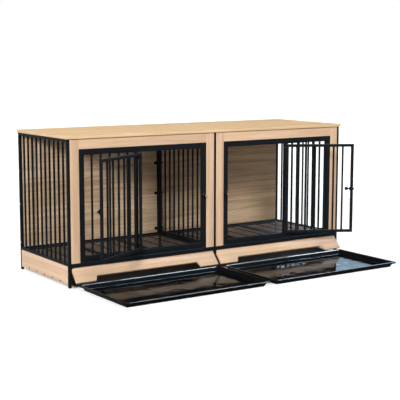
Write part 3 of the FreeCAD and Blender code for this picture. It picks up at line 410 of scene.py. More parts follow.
bands = layer(0.7, 24.0, 1.0, 0.3, 0.7)
streaks = layer(2.2, 85.0, 2.0, 0.32, 0.68)
fibres = layer(7.0, 330.0, 3.0, 0.28, 0.72)
blush = limited(grain_tree, drawn_out(vector, (1.0, 47.0, 47.0), 2.0), 0.52, 0.72)
print("straight layers are drawn out", round(24.0 / 0.7), "to", round(330.0 / 7.0), "times")

# %% Oak grain: arches and pores
# An arch is a ring of distance from a line beside the board; slow noise opens and closes it.
split = new_node(grain_tree, "SeparateXYZ")
link(vector, split.inputs[0])
bend = drawn_out(straight, (0.8, 4.5, 4.5), 1.0)
squares = [grain_math("POWER", grain_math("ADD", split.outputs[axis], shift), 2.0)
           for axis, shift in (("Y", 0.83), ("Z", 0.37))]
distance = grain_math("SQRT", grain_math("ADD", *squares))
distance = grain_math("ADD", distance, grain_math("MULTIPLY", bend, 0.16))
ring = grain_math("FRACT", grain_math("MULTIPLY", distance, 55.0))
ring = grain_math("SUBTRACT", grain_math("POWER", ring, 1.6), 0.4)
shown = limited(grain_tree, drawn_out(straight, (0.9, 7.0, 7.0), 1.0), 0.4, 0.62)
arches = grain_math("MULTIPLY", ring, shown)
tone = None
for part, share in ((bands, "Bands"), (streaks, "Streaks"), (fibres, "Streaks"),
                    (arches, "Arches")):
    weighed = grain_math("MULTIPLY", part, grain_in.outputs[share])
    tone = weighed if tone is None else grain_math("ADD", tone, weighed)
dash = drawn_out(vector, (60.0, 1300.0, 1300.0), 1.0, 0.4)
pore = grain_math("MULTIPLY", limited(grain_tree, dash, 0.64, 0.74), grain_in.outputs["Pores"])
height = grain_math("SUBTRACT", grain_math("MULTIPLY", fibres, 0.25), pore)
for label, socket in (("Tone", tone), ("Blush", blush), ("Pore", pore), ("Height", height)):
    link(socket, grain_out.inputs[label])
print("oak_grain has", len(grain_tree.nodes), "nodes")

# %% [markdown]
# ### Handling marks
# Coated steel and moulded plastic are never equally shiny all over: there is a fine texture
# from the coat or the mould, and soft cloudy patches where hands and dust have been. Both
# finishes take the same group with their own values.

# %% Surface texture group
mark_tree, mark_in, mark_out = new_group(
    "handling_marks", ("Cloud", "Speck"), ("Cloud", "Speck", "Height"))
marks_at = mark_in.outputs["Vector"]
cloud = limited(mark_tree, noise(mark_tree, marks_at, 9.0, 4.0, 0.6, 0.4), 0.35, 0.75)
speck = limited(mark_tree, noise(mark_tree, marks_at, 850.0, 2.0, 0.6), 0.66, 0.78)
for label, mask in (("Cloud", cloud), ("Speck", speck)):
    weighed = math_node(mark_tree, "MULTIPLY", mask, mark_in.outputs[label])
    link(weighed, mark_out.inputs[label])
peel = math_node(mark_tree, "ADD", noise(mark_tree, marks_at, 900.0, 2.0, 0.5),
                 noise(mark_tree, marks_at, 210.0, 1.0, 0.5))
link(peel, mark_out.inputs["Height"])
print("handling_marks has", len(mark_tree.nodes), "nodes")

# %% Material helpers


def new_material(name, shine=0.5):
    """An empty material with a Principled shader and its tree."""
    material = bpy.data.materials.new(name)
    material.use_nodes = True
    shader = material.node_tree.nodes["Principled BSDF"]
    shader.inputs["Specular IOR Level"].default_value = shine
    return material, material.node_tree, shader


def object_vector(tree, turn=(0, 0, 0), move=(0, 0, 0)):
    """Object coordinates through a Mapping node, which turns and moves the pattern."""
    source = new_node(tree, "TexCoord")
    mapping = new_node(tree, "Mapping", Rotation=[math.radians(angle) for angle in turn],
                       Location=move)
    link(source.outputs["Object"], mapping.inputs["Vector"])
    return mapping.outputs["Vector"]


def placed(tree, group, vector_socket, **values):
    """A group node with its own values."""
    node = new_node(tree, "Group", group, **values)
    link(vector_socket, node.inputs["Vector"])
    return node


def colours_between(tree, factor, stops):
    """A Color Ramp over a factor; each stop is a place and a linear colour."""
    ramp = new_node(tree, "ValToRGB")
    while len(ramp.color_ramp.elements) < len(stops):
        ramp.color_ramp.elements.new(0.5)
    for element, (place_on_ramp, colour) in zip(ramp.color_ramp.elements, stops):
        element.position = place_on_ramp
        element.color = (*colour, 1)
    link(factor, ramp.inputs["Fac"])
    return ramp.outputs["Color"]


def mixed(tree, factor, first, second):
    """A colour mix; the second may be a plain colour."""
    node = new_node(tree, "Mix")
    node.data_type = "RGBA"
    link(factor, node.inputs["Factor"])
    for socket, colour in ((node.inputs[6], first), (node.inputs[7], second)):
        if isinstance(colour, tuple):
            socket.default_value = (*colour, 1)
        else:
            link(colour, socket)
    return node.outputs[2]


def dressed(shader, colour, rough, height, distance, strength):
    """Joins patterns to a shader; the height only turns its normal, as a bump."""
    bump = new_node(shader.id_data, "Bump", Distance=distance, Strength=strength)
    link(height, bump.inputs["Height"])
    for socket, label in ((colour, "Base Color"), (rough, "Roughness"),
                          (bump.outputs["Normal"], "Normal")):
        link(socket, shader.inputs[label])


print("a material is built from object_vector, placed, colours_between, mixed and dressed")

# %% Two kinds of finish


def oak_board(name, turn, move, shares, light=(0.69, 0.485, 0.33), dark=(0.47, 0.305, 0.185),
              blush=0.3, shine=0.05):
    """Oak-pattern board with its grain along one axis, from a light and a dark tone.

    Tone runs from light to dark round the middle of the ramp; blush reddens some streaks.
    """
    material, tree, shader = new_material(name, shine)
    grain = placed(tree, grain_tree, object_vector(tree, turn, move), **shares)
    middle = tuple((a + b) / 2 for a, b in zip(light, dark))
    colour = colours_between(tree, math_node(tree, "ADD", grain.outputs["Tone"], 0.5),
                             [(0.0, light), (0.5, middle), (1.0, dark)])
    reddened = math_node(tree, "MULTIPLY", grain.outputs["Blush"], blush)
    red = tuple(part * share for part, share in zip(dark, (0.95, 0.78, 0.7)))
    colour = mixed(tree, reddened, colour, red)
    colour = mixed(tree, grain.outputs["Pore"], colour, tuple(part * 0.6 for part in dark))
    rough = limited(tree, grain.outputs["Tone"], -0.5, 0.5, 0.46, 0.58)
    dressed(shader, colour, rough, grain.outputs["Height"], 0.0001, 0.4)
    return material


def black_finish(name, colour, roughness, cloud, bump, shine):
    """Powder coat or plastic: a fine bumpy skin with small differences of shine."""
    material, tree, shader = new_material(name, shine)
    marks = placed(tree, mark_tree, object_vector(tree), Cloud=cloud, Speck=0.3)
    base = mixed(tree, marks.outputs["Cloud"], colour, tuple(part * 1.35 for part in colour))
    lighter = tuple(part * 1.9 + 0.004 for part in colour)
    base = mixed(tree, marks.outputs["Speck"], base, lighter)
    rough = limited(tree, marks.outputs["Cloud"], 0.0, 1.0, roughness, roughness + 0.14)
    dressed(shader, base, rough, marks.outputs["Height"], bump, 0.35)
    return material


print("finishes come from oak_board and black_finish")

# %% Materials
front_shares = {"Bands": 0.34, "Streaks": 0.24, "Arches": 0.22, "Pores": 0.45}
top_shares = {"Bands": 0.3, "Streaks": 0.3, "Arches": 0.1, "Pores": 0.4}
back_shares = {"Bands": 0.42, "Streaks": 0.36, "Arches": 0.25, "Pores": 0.6}
oak_along_x = oak_board("oak_along_x", (0, 0, 0), (0, 0, 0), front_shares)
# The side skirts' oak is painted lighter and cooler than the front boards' oak: painted light
# and a painted cool sheen on the crate's sides.
oak_along_y_painted_light = oak_board("oak_along_y_painted_light", (0, 0, 90), (0.4, 0, 0), front_shares,
                        (0.72, 0.525, 0.385), (0.49, 0.33, 0.215))
oak_along_z = oak_board("oak_along_z", (0, 90, 0), (0.2, 0, 0), front_shares)
oak_top = oak_board("oak_top", (0, 0, 0), (0.3, 0.1, 0), top_shares,
                    (0.70, 0.51, 0.31), (0.55, 0.38, 0.215), 0.2, 0.0)
oak_back = oak_board("oak_back", (0, 0, 0), (0.1, 0.31, 0.12), back_shares,
                     (0.76, 0.575, 0.39), (0.42, 0.27, 0.155), 0.45)
powder_coat = black_finish("powder_coat", (0.0062, 0.0074, 0.0088),
                           roughness=0.38, cloud=0.6, bump=0.00004, shine=0.04)
wire_coat = black_finish("wire_coat", (0.014, 0.015, 0.016),
                         roughness=0.3, cloud=0.6, bump=0.00004, shine=0.1)
foot_black = black_finish("foot_plastic", (0.006, 0.006, 0.0065),
                          roughness=0.5, cloud=0.5, bump=0.00003, shine=0.1)
gloss_black = black_finish("gloss_black_plastic", (0.0035, 0.004, 0.0045),
                           roughness=0.06, cloud=0.5, bump=0.000004, shine=0.03)
# Slow waves go under the gloss plastic's fine bump.
gloss_tree = gloss_black.node_tree
wavy = new_node(gloss_tree, "Bump", Distance=0.001)
link(noise(gloss_tree, object_vector(gloss_tree), 13.0, 1.0, 0.4, 0.5), wavy.inputs["Height"])
fine = gloss_tree.nodes["Principled BSDF"].inputs["Normal"].links[0].from_node
link(wavy.outputs["Normal"], fine.inputs["Normal"])

bright_steel, bright_tree, bright_shader = new_material("bright_steel")
bright_marks = placed(bright_tree, mark_tree, object_vector(bright_tree), Cloud=0.8, Speck=0.4)
bright_shader.inputs["Metallic"].default_value = 1.0
bright_cloud = bright_marks.outputs["Cloud"]
dressed(bright_shader, mixed(bright_tree, bright_cloud, (0.68, 0.68, 0.67), (0.5, 0.5, 0.49)),
        limited(bright_tree, bright_cloud, 0, 1, 0.24, 0.42),
        bright_marks.outputs["Height"], 0.00002, 0.3)
print("materials:", [material.name for material in bpy.data.materials])

# %% [markdown]
# ## Wooden boards
# The top, the surround of each doorway, the skirts and the back panels are flat boards with
# slightly eased edges. Their corners are read from the CAD boxes, so they can't drift. The
# grain runs along each board's long side, and up and down on the front stiles. The front
# boards have a small step along their top edge, which holds a line of shade.

# %% Boards


def box_of(node):
    """A CAD node's corners in millimetres."""
    low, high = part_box(node)
    return np.array(low) / MM, np.array(high) / MM


def wooden(name, node, material, finish="oak_board", rounding=1.0):
    """A board as large as its CAD node, with eased edges."""
    piece(material, finish, name, [board(*box_of(node), rounding)], [node])


def rebated(name, node, material, groove=3.5, depth=9.0):
    """A front board whose top edge is cut back, which leaves a dark line under the top.

    Its section is the board's own rectangle, less the groove's height and depth.
    """
    low, high = box_of(node)
    back, shoulder = low[1] + depth, high[2] - groove
    outline = np.array([(low[1], low[2]), (high[1], low[2]), (high[1], high[2]),
                        (back, high[2]), (back, shoulder), (low[1], shoulder)])
    rings = carried(outline, stations(high[0] - low[0], 0.9))
    piece(material, "oak_board", name,
          [grid_solid(set_down(rings, (low[0], 0, 0), "x"))], [node])


wooden("top_oak_board", "top_board", oak_top, rounding=1.4)
for side, _ in SIDES:
    for place_in_front in ("inner", "outer"):
        node = f"front_stile_{side}_{place_in_front}"
        rebated(f"{node}_oak", node, oak_along_z)
    rebated(f"front_head_{side}_oak", f"front_head_board_{side}", oak_along_x)
    wooden(f"side_skirt_{side}_oak", f"side_skirt_{side}", oak_along_y_painted_light)
    wooden(f"rear_skirt_{side}_oak", f"rear_skirt_{side}", oak_along_x)
    wooden(f"back_{side}_oak", f"back_panel_{side}", oak_back, "back_board")
top_low, top_high = box_of("top_board")
print("top board in millimetres:", (top_high - top_low).round(1).tolist())

# %% [markdown]
# ## Steel frame
# The posts and rails are thin square tube. A real tube has a small outer radius, which is
# what catches a line of light along each post, so the outline is a square with round
# corners. The posts end in short plastic feet.

# %% Posts, feet and rails
steel = partial(piece, powder_coat, "black_steel")
POST, CORNER, REAR = 15.0, 892.5, 575.0
HALF_POST = POST / 2
BAY_OUT = CORNER - HALF_POST
BACK_END = REAR - HALF_POST
FOOT_TOP, LOW_RAIL, SIDE_RAIL, LOW_TOP = 8.0, 105.0, 112.0, 126.0
HIGH_RAIL, POST_TOP = 744.0, 759.0
for row, y in (("front", 0.0), ("rear", REAR)):
    for column, x in (("left", -CORNER), ("centre", 0.0), ("right", CORNER)):
        tube = square_tube((x - HALF_POST, y - HALF_POST, FOOT_TOP),
                           (x + HALF_POST, y + HALF_POST, POST_TOP))
        steel(f"post_{row}_{column}_tube", [tube], [f"post_{row}_{column}"])

foot_places = [(x, y, 0) for x in (-CORNER, 0, CORNER) for y in (0, REAR)]
foot_rings = carried(rounded_box_outline(POST, POST, 2.6, 4),
                     [(0.0, 2.6), (0.35, 1.3), (1.0, 0.5), (2.3, 0.0), (5.6, 0.0), (5.9, 0.45),
                      (6.3, 0.45), (6.6, 0.0), (FOOT_TOP, 0.0)])
piece(foot_black, "foot_plastic", "feet_moulded",
      [several(grid_solid(foot_rings), foot_places)], ["feet"])

for name, low_y, low_z, high_z in (("front_lower_rails", -HALF_POST, LOW_RAIL, LOW_TOP),
                                   ("rear_lower_rails", BACK_END, LOW_RAIL, LOW_TOP),
                                   ("rear_upper_rails", BACK_END, HIGH_RAIL, POST_TOP)):
    rail = square_tube((-BAY_OUT, low_y, low_z), (-HALF_POST, low_y + POST, high_z))
    steel(f"{name}_tube", [rail, mirrored(rail)], [name])
strip = board((-BAY_OUT, HALF_POST - 3, HIGH_RAIL), (-HALF_POST, HALF_POST, POST_TOP), 0.5)
steel("front_upper_strips_flat", [strip, mirrored(strip)], ["front_upper_strips"])
steel("centre_rails_tube",
      [square_tube((-HALF_POST, HALF_POST, low), (HALF_POST, BACK_END, high))
       for low, high in ((LOW_RAIL, LOW_TOP), (HIGH_RAIL, POST_TOP))], ["centre_rails"])
print("posts:", len(foot_places), "of", POST_TOP - FOOT_TOP, "mm")

# %% [markdown]
# ## Side grilles and divider
# Round bars are welded between two rails. Each bar is carried between the rails as one
# grid that flares at both ends, which is the weld bead; a plain cylinder pushed into the
# rail would show a hard line there. One bar is worked out, then copied as a whole array.

# %% Side grilles


def row_of_bars(first, last, x, bottom, top):
    """Welded bars in a row from front to back."""
    places = [(x, y, bottom) for y in np.linspace(first, last, ROW_BARS)]
    return welded_bars(places, top - bottom)


SIDE_OUT = CORNER + HALF_POST
FIRST_BAR, LAST_BAR, ROW_BARS = 54.0, 521.0, 10
solids = [square_tube((-SIDE_OUT, HALF_POST, low), (-BAY_OUT, BACK_END, high))
          for low, high in ((SIDE_RAIL, LOW_TOP), (HIGH_RAIL, POST_TOP))]
solids.append(row_of_bars(FIRST_BAR, LAST_BAR, -CORNER, LOW_TOP, HIGH_RAIL))
for side, to_side in SIDES:
    steel(f"side_grille_{side}_welded", to_side(solids), [f"side_grille_{side}"])
print("side bars stand", round((LAST_BAR - FIRST_BAR) / (ROW_BARS - 1), 1), "mm apart")

# %% Divider
DIVIDER_SCREWS = LOW_TOP + (HIGH_RAIL - LOW_TOP) * np.array([0.0435, 0.3865, 0.678])
FLAT = 12.0
INNER_FRONT, INNER_REAR = HALF_POST + FLAT, BACK_END - FLAT
divider = [square_tube((-HALF_POST, y, LOW_TOP), (HALF_POST, y + FLAT, HIGH_RAIL), 1.5)
           for y in (HALF_POST, INNER_REAR)]
divider += [square_tube((-HALF_POST, INNER_FRONT, z), (HALF_POST, INNER_REAR, z + FLAT), 1.5)
            for z in (LOW_TOP, HIGH_RAIL - FLAT)]
pitch = (INNER_REAR - INNER_FRONT) / (ROW_BARS + 1)
divider.append(row_of_bars(INNER_FRONT + pitch, INNER_REAR - pitch, 0.0,
                           LOW_TOP + FLAT, HIGH_RAIL - FLAT))
steel("divider_welded", divider, ["divider"])
print("divider screws at heights", DIVIDER_SCREWS.round(1).tolist())

# %% [markdown]
# The divider is held by three knob screws to a square tube beside the rear centre post. A
# knob needs grip, so its radius is rippled with eight shallow flutes that fade out at its
# ends.

# %% Anchor tube, knob screws and nuts
anchor = square_tube((-HALF_POST - FLAT, INNER_REAR, LOW_TOP),
                     (-HALF_POST, INNER_REAR + POST, HIGH_RAIL), 1.5)
steel("divider_anchor_tube", [anchor], ["divider_anchor"])
SCREW_LINE = INNER_REAR + FLAT / 2


def fluted(turn, station):
    """One plus a small cosine of eight times the angle, on the middle stations only."""
    return 1 + 0.045 * np.cos(8 * turn) * ((station > 1) & (station < 6))


knob = turned([(-39.5, 4.6), (-39.1, 6.4), (-38.1, 7.6), (-36.8, 8.15), (-25.6, 8.15),
               (-23.8, 7.7), (-22.6, 6.8), (-21.9, 5.4), (-21.5, 4.6), (-19.6, 4.6),
               (-19.5, 3.0), (14.1, 3.0), (14.5, 2.5)], (0, SCREW_LINE, 0), "x", 48, fluted)
screw_heights = [(0, 0, z) for z in DIVIDER_SCREWS]
steel("divider_knobs_fluted", [several(knob, screw_heights)], ["divider_knob_screws"],
      sharp=45)
nut_rings = carried(round_outline(6.5, 6), [(0, 0), (6, 0), (7, 0.9)])
nut = grid_solid(set_down(nut_rings, (HALF_POST, SCREW_LINE, 0), "x"))
steel("divider_nuts_hex", [several(nut, screw_heights)], ["divider_nuts"])
print("a knob has", len(knob[0]), "points")

# %% [markdown]
# ## Floor grilles
# Each room's floor is welded wire: two rails and six rods run front to back, and thin wires
# lie across them. Forty wires are cheap when each has only a few dozen faces.

# %% Floor grilles
FLOOR_TOP, ROD, WIRE, WIRE_END, WIRE_INSET = 117.0, 2.5, 2.0, 6.0, 14.0
ninth = (BAY_OUT - HALF_POST) / 9
wire_length = BAY_OUT - HALF_POST - 2 * WIRE_END
solids = [square_tube((-x - POST, HALF_POST, FLOOR_TOP - 14), (-x, BACK_END, FLOOR_TOP))
          for x in (3 * ninth, 6 * ninth)]
rods = [(-HALF_POST - ninth * n, HALF_POST, FLOOR_TOP - ROD) for n in (1, 2, 4, 5, 7, 8)]
solids.append(several(rod((0, 0, 0), BACK_END - HALF_POST, ROD, "y", 0.4, 12), rods))
wires = [(WIRE_END - BAY_OUT, y, FLOOR_TOP + WIRE)
         for y in np.linspace(HALF_POST + WIRE_INSET, BACK_END - WIRE_INSET, 20)]
solids.append(several(rod((0, 0, 0), wire_length, WIRE, "x", 1.2, 8), wires))
for side, to_side in SIDES:
    piece(wire_coat, "black_steel", f"floor_grille_{side}_wire", to_side(solids),
          [f"floor_grille_{side}"])
print("wires in each floor:", len(wires), "of", wire_length, "mm")

# %% [markdown]
# ## Door frames
# A flat steel frame sits inside the wooden surround, with a middle post and five fixed
# bars beside the doorway. Where two members meet there is a thin ground weld, made here as
# a low ridge along the joint.

# %% Door frames


def weld_line(start, length):
    """A low upright ridge: half of a thin round bar."""
    return rod(start, length, 0.9, "z", 0.5, 8)


JAMB_IN, DOORWAY_IN, MID_POST = 57.5, 88.0, 488.0
FIXED_IN, FIXED_OUT, FRAME_OUT = 503.0, 804.5, 835.0
FRONT, BACK, SILL_TOP, HEAD_LOW, HEAD_TOP = -6.0, 9.0, 157.0, 675.5, 706.5
FIXED_INSET = 46
solids = [square_tube((-outer, FRONT, low), (-inner, BACK, high))
          for outer, inner, low, high in ((DOORWAY_IN, JAMB_IN, LOW_TOP, HEAD_TOP),
                                          (FRAME_OUT, FIXED_OUT, LOW_TOP, HEAD_TOP),
                                          (FIXED_OUT, DOORWAY_IN, LOW_TOP, SILL_TOP),
                                          (FIXED_OUT, DOORWAY_IN, HEAD_LOW, HEAD_TOP),
                                          (FIXED_IN, MID_POST, SILL_TOP, HEAD_LOW))]
solids += [weld_line((-x, FRONT + 0.3, z + 1), 29.0)
           for x in (DOORWAY_IN, FIXED_OUT) for z in (LOW_TOP, HEAD_LOW)]
bars = [(-x, (FRONT + BACK) / 2, SILL_TOP)
        for x in np.linspace(FIXED_IN + FIXED_INSET, FIXED_OUT - FIXED_INSET, 5)]
solids.append(welded_bars(bars, HEAD_LOW - SILL_TOP))
for side, to_side in SIDES:
    steel(f"door_frame_{side}_steel", to_side(solids), [f"door_frame_{side}"])
print("doorway:", MID_POST - DOORWAY_IN, "by", HEAD_LOW - SILL_TOP, "mm")

# %% [markdown]
# ## Doors
# A leaf is easiest to think of closed: it runs from its hinge axis towards the middle of the
# crate. So every door piece is worked out closed, from the axis, then spun to the angle at
# which the door stands open. The hinge is a fixed knuckle on the post, a bright washer and
# a turning knuckle on the leaf, stacked on one pin.

# %% Door leaves
HINGE = (-487.5, -13.5, 0.0)
OPEN = -151.0
LEAF_START, LEAF_END, LEAF_LOW, LEAF_HIGH = 1.5, 396.5, 159.5, 673.0
LEAF_FRONT, LEAF_BACK, LEAF_RAIL, LEAF_INSET = 7.0, 19.0, 16.0, 48.0
PIN_LENGTH, EYE = 29.6, 14.0
HINGE_LOWS = (LEAF_LOW + 4, LEAF_HIGH - 4 - PIN_LENGTH)
EYE_LOWS = [low + PIN_LENGTH - EYE for low in HINGE_LOWS]
KNUCKLE = [(0, 3.9), (0.3, 4.3), (0.8, 4.5), (13.2, 4.5), (13.7, 4.3), (EYE, 3.9)]


def opened(solids):
    """Closed-door solids, measured from the hinge axis, turned to the open angle."""
    return [spun(solid, HINGE, "z", OPEN) for solid in solids]


stile_in, stile_out = LEAF_START + LEAF_RAIL, LEAF_END - LEAF_RAIL
rail_lows = (LEAF_LOW, LEAF_HIGH - LEAF_RAIL)
leaf = [square_tube((x, LEAF_FRONT, LEAF_LOW), (x + LEAF_RAIL, LEAF_BACK, LEAF_HIGH), 1.6)
        for x in (LEAF_START, stile_out)]
leaf += [square_tube((stile_in, LEAF_FRONT, z), (stile_out, LEAF_BACK, z + LEAF_RAIL), 1.6)
         for z in rail_lows]
leaf += [weld_line((x, LEAF_FRONT + 0.3, z + 1), LEAF_RAIL - 2)
         for x in (stile_in, stile_out) for z in rail_lows]
leaf_bars = [(x, (LEAF_FRONT + LEAF_BACK) / 2, LEAF_LOW + LEAF_RAIL)
             for x in np.linspace(stile_in + LEAF_INSET, stile_out - LEAF_INSET, 6)]
leaf.append(welded_bars(leaf_bars, LEAF_HIGH - LEAF_LOW - 2 * LEAF_RAIL))
leaf += [turned(KNUCKLE, (0, 0, z), "z", 24) for z in EYE_LOWS]
leaf += [board((LEAF_START - 0.5, 0, z), (LEAF_START + 5, LEAF_FRONT + 0.4, z + EYE), 0.7)
         for z in EYE_LOWS]
bright = partial(piece, bright_steel, "bright_steel")
hinge_x, hinge_y = HINGE[:2]
brackets = [turned(KNUCKLE, (hinge_x, hinge_y, z), "z", 24) for z in HINGE_LOWS]
brackets += [board((-MID_POST - 5, hinge_y, z), (-MID_POST, FRONT + 0.3, z + EYE), 0.7)
             for z in HINGE_LOWS]
pins = [turned([(0.0, 2.0), (0.3, 2.5), (14.3, 2.5), (14.31, 4.0), (14.5, 4.2), (15.1, 4.2),
                (15.3, 4.0), (15.31, 2.5), (29.3, 2.5), (PIN_LENGTH, 2.0)],
               (hinge_x, hinge_y, z), "z", 24) for z in HINGE_LOWS]
for side, to_side in SIDES:
    steel(f"door_{side}_leaf", to_side(opened(leaf)), [f"door_{side}"], f"door_{side}")
    steel(f"hinge_knuckles_{side}", to_side(brackets), [f"hinge_brackets_{side}"])
    bright(f"hinge_pins_{side}_bright", to_side(pins), [f"hinge_pins_{side}"])
print("door leaf:", LEAF_END - LEAF_START, "by", LEAF_HIGH - LEAF_LOW, "mm")

# %% [markdown]
# ## Door bolts and keepers
# A diamond plate holds a small guide block, and a round bolt with a ball knob slides in it.
# On the jamb, a second diamond plate carries a staple with a bright stud; these two are
# blacker and glossier than the frame. Diamonds and the arched staple are outlines with
# corners, carried through the thickness of the metal with a small bevel, by the same
# function as the boards.

# %% Bolt housing, bolt and keeper
LATCH_Z, LATCH_X = POST_TOP * 0.543, LEAF_END - 8
KEEPER_X, KEEPER_FACE = -73.0, -8.5


def diamond_plate(half_width, half_height, thickness, centre, face_y, tip=1.2, bevel=0.7):
    """A diamond whose four tips are cut off by a short edge; its front faces -Y.

    Its outline narrows by a bevel over the last of the thickness.
    """
    rise = tip * half_height / half_width
    outline = np.array([[half_width, -rise], [half_width, rise], [tip, half_height],
                        [-tip, half_height], [-half_width, rise], [-half_width, -rise],
                        [-tip, -half_height], [tip, -half_height]])
    rings = carried(outline, [(0, 0), (thickness - bevel, 0), (thickness, bevel)])
    return grid_solid(set_down(rings, (centre[0], face_y + thickness, centre[1]), "-y"))


def rivet(centre, face_y, radius=1.7, dome=1.0):
    """A low domed head that faces -Y: radius times cosine, height times sine."""
    turn = np.linspace(0, np.pi / 2 * 0.96, 4)
    profile = np.column_stack([-dome * np.sin(turn), radius * np.cos(turn)])[::-1]
    return turned(profile, (centre[0], face_y, centre[1]), "y", 12)


housing = [diamond_plate(18, 16.5, 3, (LATCH_X, LATCH_Z), 4.0),
           board((LATCH_X - 2, -5, LATCH_Z - 5), (LATCH_X + 14, 4.3, LATCH_Z + 5), 1.6, "x")]
housing += [rivet((LATCH_X, LATCH_Z + lift), 4.0) for lift in (-11.5, 11.5)]
ball = np.linspace(0.02, np.pi * 0.86, 12)
ball = 10.5 * np.column_stack([-1 - np.cos(ball), np.sin(ball)])
bolt = [turned([(-34, 2.0), (-33.3, 2.7), (-32.5, 3.0), (16.5, 3.0), (18.6, 2.6), (20, 1.6)],
               (LATCH_X, 0, LATCH_Z), "x", 20),
        turned(np.concatenate([ball, [(-0.8, 4.5), (-0.2, 4.5), (0.0, 4.2)]]),
               (LATCH_X - 25, 0, LATCH_Z), "y", 28)]
keeper = [diamond_plate(7, 16.5, 2.5, (KEEPER_X, LATCH_Z), KEEPER_FACE, 0.8)]
keeper += [rivet((KEEPER_X, LATCH_Z + lift), KEEPER_FACE, 1.4) for lift in (-11.8, 11.8)]
arc = np.linspace(-np.pi / 2, np.pi / 2, 9)
arch = np.concatenate([[(0.0, 8.0)], np.stack([-6.5 - 8 * np.cos(arc), -8 * np.sin(arc)], 1),
                       [(0.0, -8.0), (0.0, -4.6)],
                       np.stack([-5 - 3.5 * np.cos(arc), 3.6 * np.sin(arc)], 1), [(0.0, 4.6)]])
staple_rings = carried(arch, [(0, 0.5), (0.5, 0), (6.5, 0), (7, 0.5)])
staple = grid_solid(set_down(staple_rings, (KEEPER_X - 3.5, KEEPER_FACE, LATCH_Z), "x"))
glossy = partial(piece, gloss_black, "black_steel")
staple_stud = rivet((KEEPER_X, LATCH_Z + 2.4), -22.4, 2.7, 1.8)
for side, to_side in SIDES:
    steel(f"bolt_housing_{side}_plate", to_side(opened(housing)), [f"bolt_housing_{side}"],
          f"door_{side}")
    steel(f"door_bolt_{side}_knob", to_side(opened(bolt)), [f"door_bolt_{side}"],
          f"bolt_{side}", 50)
    glossy(f"keeper_{side}_diamond", to_side(keeper), [f"keeper_plate_{side}"])
    glossy(f"keeper_{side}_staple", to_side([staple]), [f"keeper_staple_{side}"], sharp=45)
    bright(f"keeper_{side}_stud", to_side([staple_stud]), [], sharp=45)
print("bolt at height", round(LATCH_Z, 1), "mm")

# %% [markdown]
# ## Trays
# A tray is one moulding: a lip that turns down, a flat rim, a sloping wall and a flat floor.
# Its section is a line of (distance in from the edge, height) pairs, and the surface is
# that section carried round a rectangle with round corners; the corner radius shrinks with
# the distance in. A sloping shoulder inside the rim catches the light as one bright line.
# The plastic is glossy black, and slow waves in it tear what it mirrors, as thin sheet
# does.

# %% Trays
TRAY_WIDTH, TRAY_DEPTH, TRAY_CENTRE = 873.5, 486.0, (-446.25, -296.5, 0.0)


def tray_ring(inset, lift, radius):
    """The tray's edge line drawn in by an inset, at a height, with its corner radius."""
    line = rounded_box_outline(TRAY_WIDTH - 2 * inset, TRAY_DEPTH - 2 * inset, radius, 10)
    return np.column_stack([line, np.full(len(line), lift)])


def arc_points(centre, radius, start, stop, steps=5):
    """Part of a circle in the section, from one angle to another, in degrees."""
    turn = np.radians(np.linspace(start, stop, steps))
    return np.stack([centre[0] + radius * np.cos(turn), centre[1] + radius * np.sin(turn)], 1)


section = np.concatenate([
    [(28.0, 0.0)], arc_points((30.0, 2.0), 2.0, 250, 200, 3),
    [(17.6, 20.0), (15.0, 24.0)], arc_points((11.8, 24.2), 1.3, 40, 90, 3), [(5.4, 25.5)],
    [(2.9, 24.4), (2.4, 22.6)], arc_points((1.3, 22.6), 1.1, 270, 180, 4),
    arc_points((5.2, 23.3), 5.2, 180, 90, 7),
    [(12.2, 28.5), (13.2, 28.2), (16.3, 25.8), (19.4, 23.4), (20.2, 22.1), (28.5, 5.8)],
    arc_points((31.0, 6.0), 3.0, 212, 270, 5), [(46.0, 3.0)]])
corner_radii = np.interp(section[:, 0], [0, 16, 20, 34, 60], [26, 10, 8.5, 6, 6])
tray = grid_solid(np.stack([tray_ring(inset, lift, radius) for (inset, lift), radius
                            in zip(section, corner_radii)]) + TRAY_CENTRE)
print("tray section points:", len(section))
for side, to_side in SIDES:
    piece(gloss_black, "black_plastic", f"tray_{side}_moulding", to_side([tray]),
          [f"tray_{side}"], f"tray_{side}", 38)

# %% [markdown]
# ## Kick boards
# Under each doorway a low board hangs on two stub pins and stands tilted out. Its lower
# edge has a wide notch for the fingers. The board's front is drawn as an outline, carried
# through its thickness with eased edges, then spun about the pins.

# %% Kick boards, pins, plates and catches
KICK_Y, KICK_Z, KICK_TILT, KICK_THICK = -0.5, 93.0, -42.0, 12.0
KICK_OUT, KICK_IN, KICK_LOW, KICK_HIGH = -882.0, -10.5, -80.0, 6.0
NOTCH_IN, NOTCH_SLANT, NOTCH_TOP = 112.0, 14.0, KICK_LOW + 30.0
PIN, PLATE, CATCH = 15.0, 2.5, 18.0
notch_out, notch_in = KICK_OUT + NOTCH_IN, KICK_IN - NOTCH_IN
kick_outline = np.array([
    (KICK_OUT, KICK_LOW), (notch_out, KICK_LOW), (notch_out + NOTCH_SLANT, NOTCH_TOP),
    (notch_in - NOTCH_SLANT, NOTCH_TOP), (notch_in, KICK_LOW), (KICK_IN, KICK_LOW),
    (KICK_IN, KICK_HIGH), (KICK_OUT, KICK_HIGH)])
kick_rings = carried(kick_outline, stations(KICK_THICK, 1.0, 2))
kick = spun(grid_solid(set_down(kick_rings, (0, KICK_THICK / 2, 0), "-y")),
            (0, KICK_Y, KICK_Z), "x", KICK_TILT)
stub_pins = [rod((x, KICK_Y, KICK_Z), PIN, 3.0, "x", 0.4)
             for x in (-HALF_POST - PIN, -BAY_OUT)]
plates = [board((x, -7.5, KICK_Z - 6), (x + PLATE, 6.5, LOW_RAIL), 0.7)
          for x in (-HALF_POST - PLATE, -BAY_OUT)]
catches = []
for x, back in ((-HALF_POST - CATCH, -HALF_POST - 2), (-BAY_OUT, -BAY_OUT)):
    catches += [board((x, 6.3, z), (x + CATCH, 12.3, z + 6.5), 1.4) for z in (36.8, 58.8)]
    catches.append(board((back, 1.5, 36.8), (back + 2, 12.3, 65.3), 0.6))
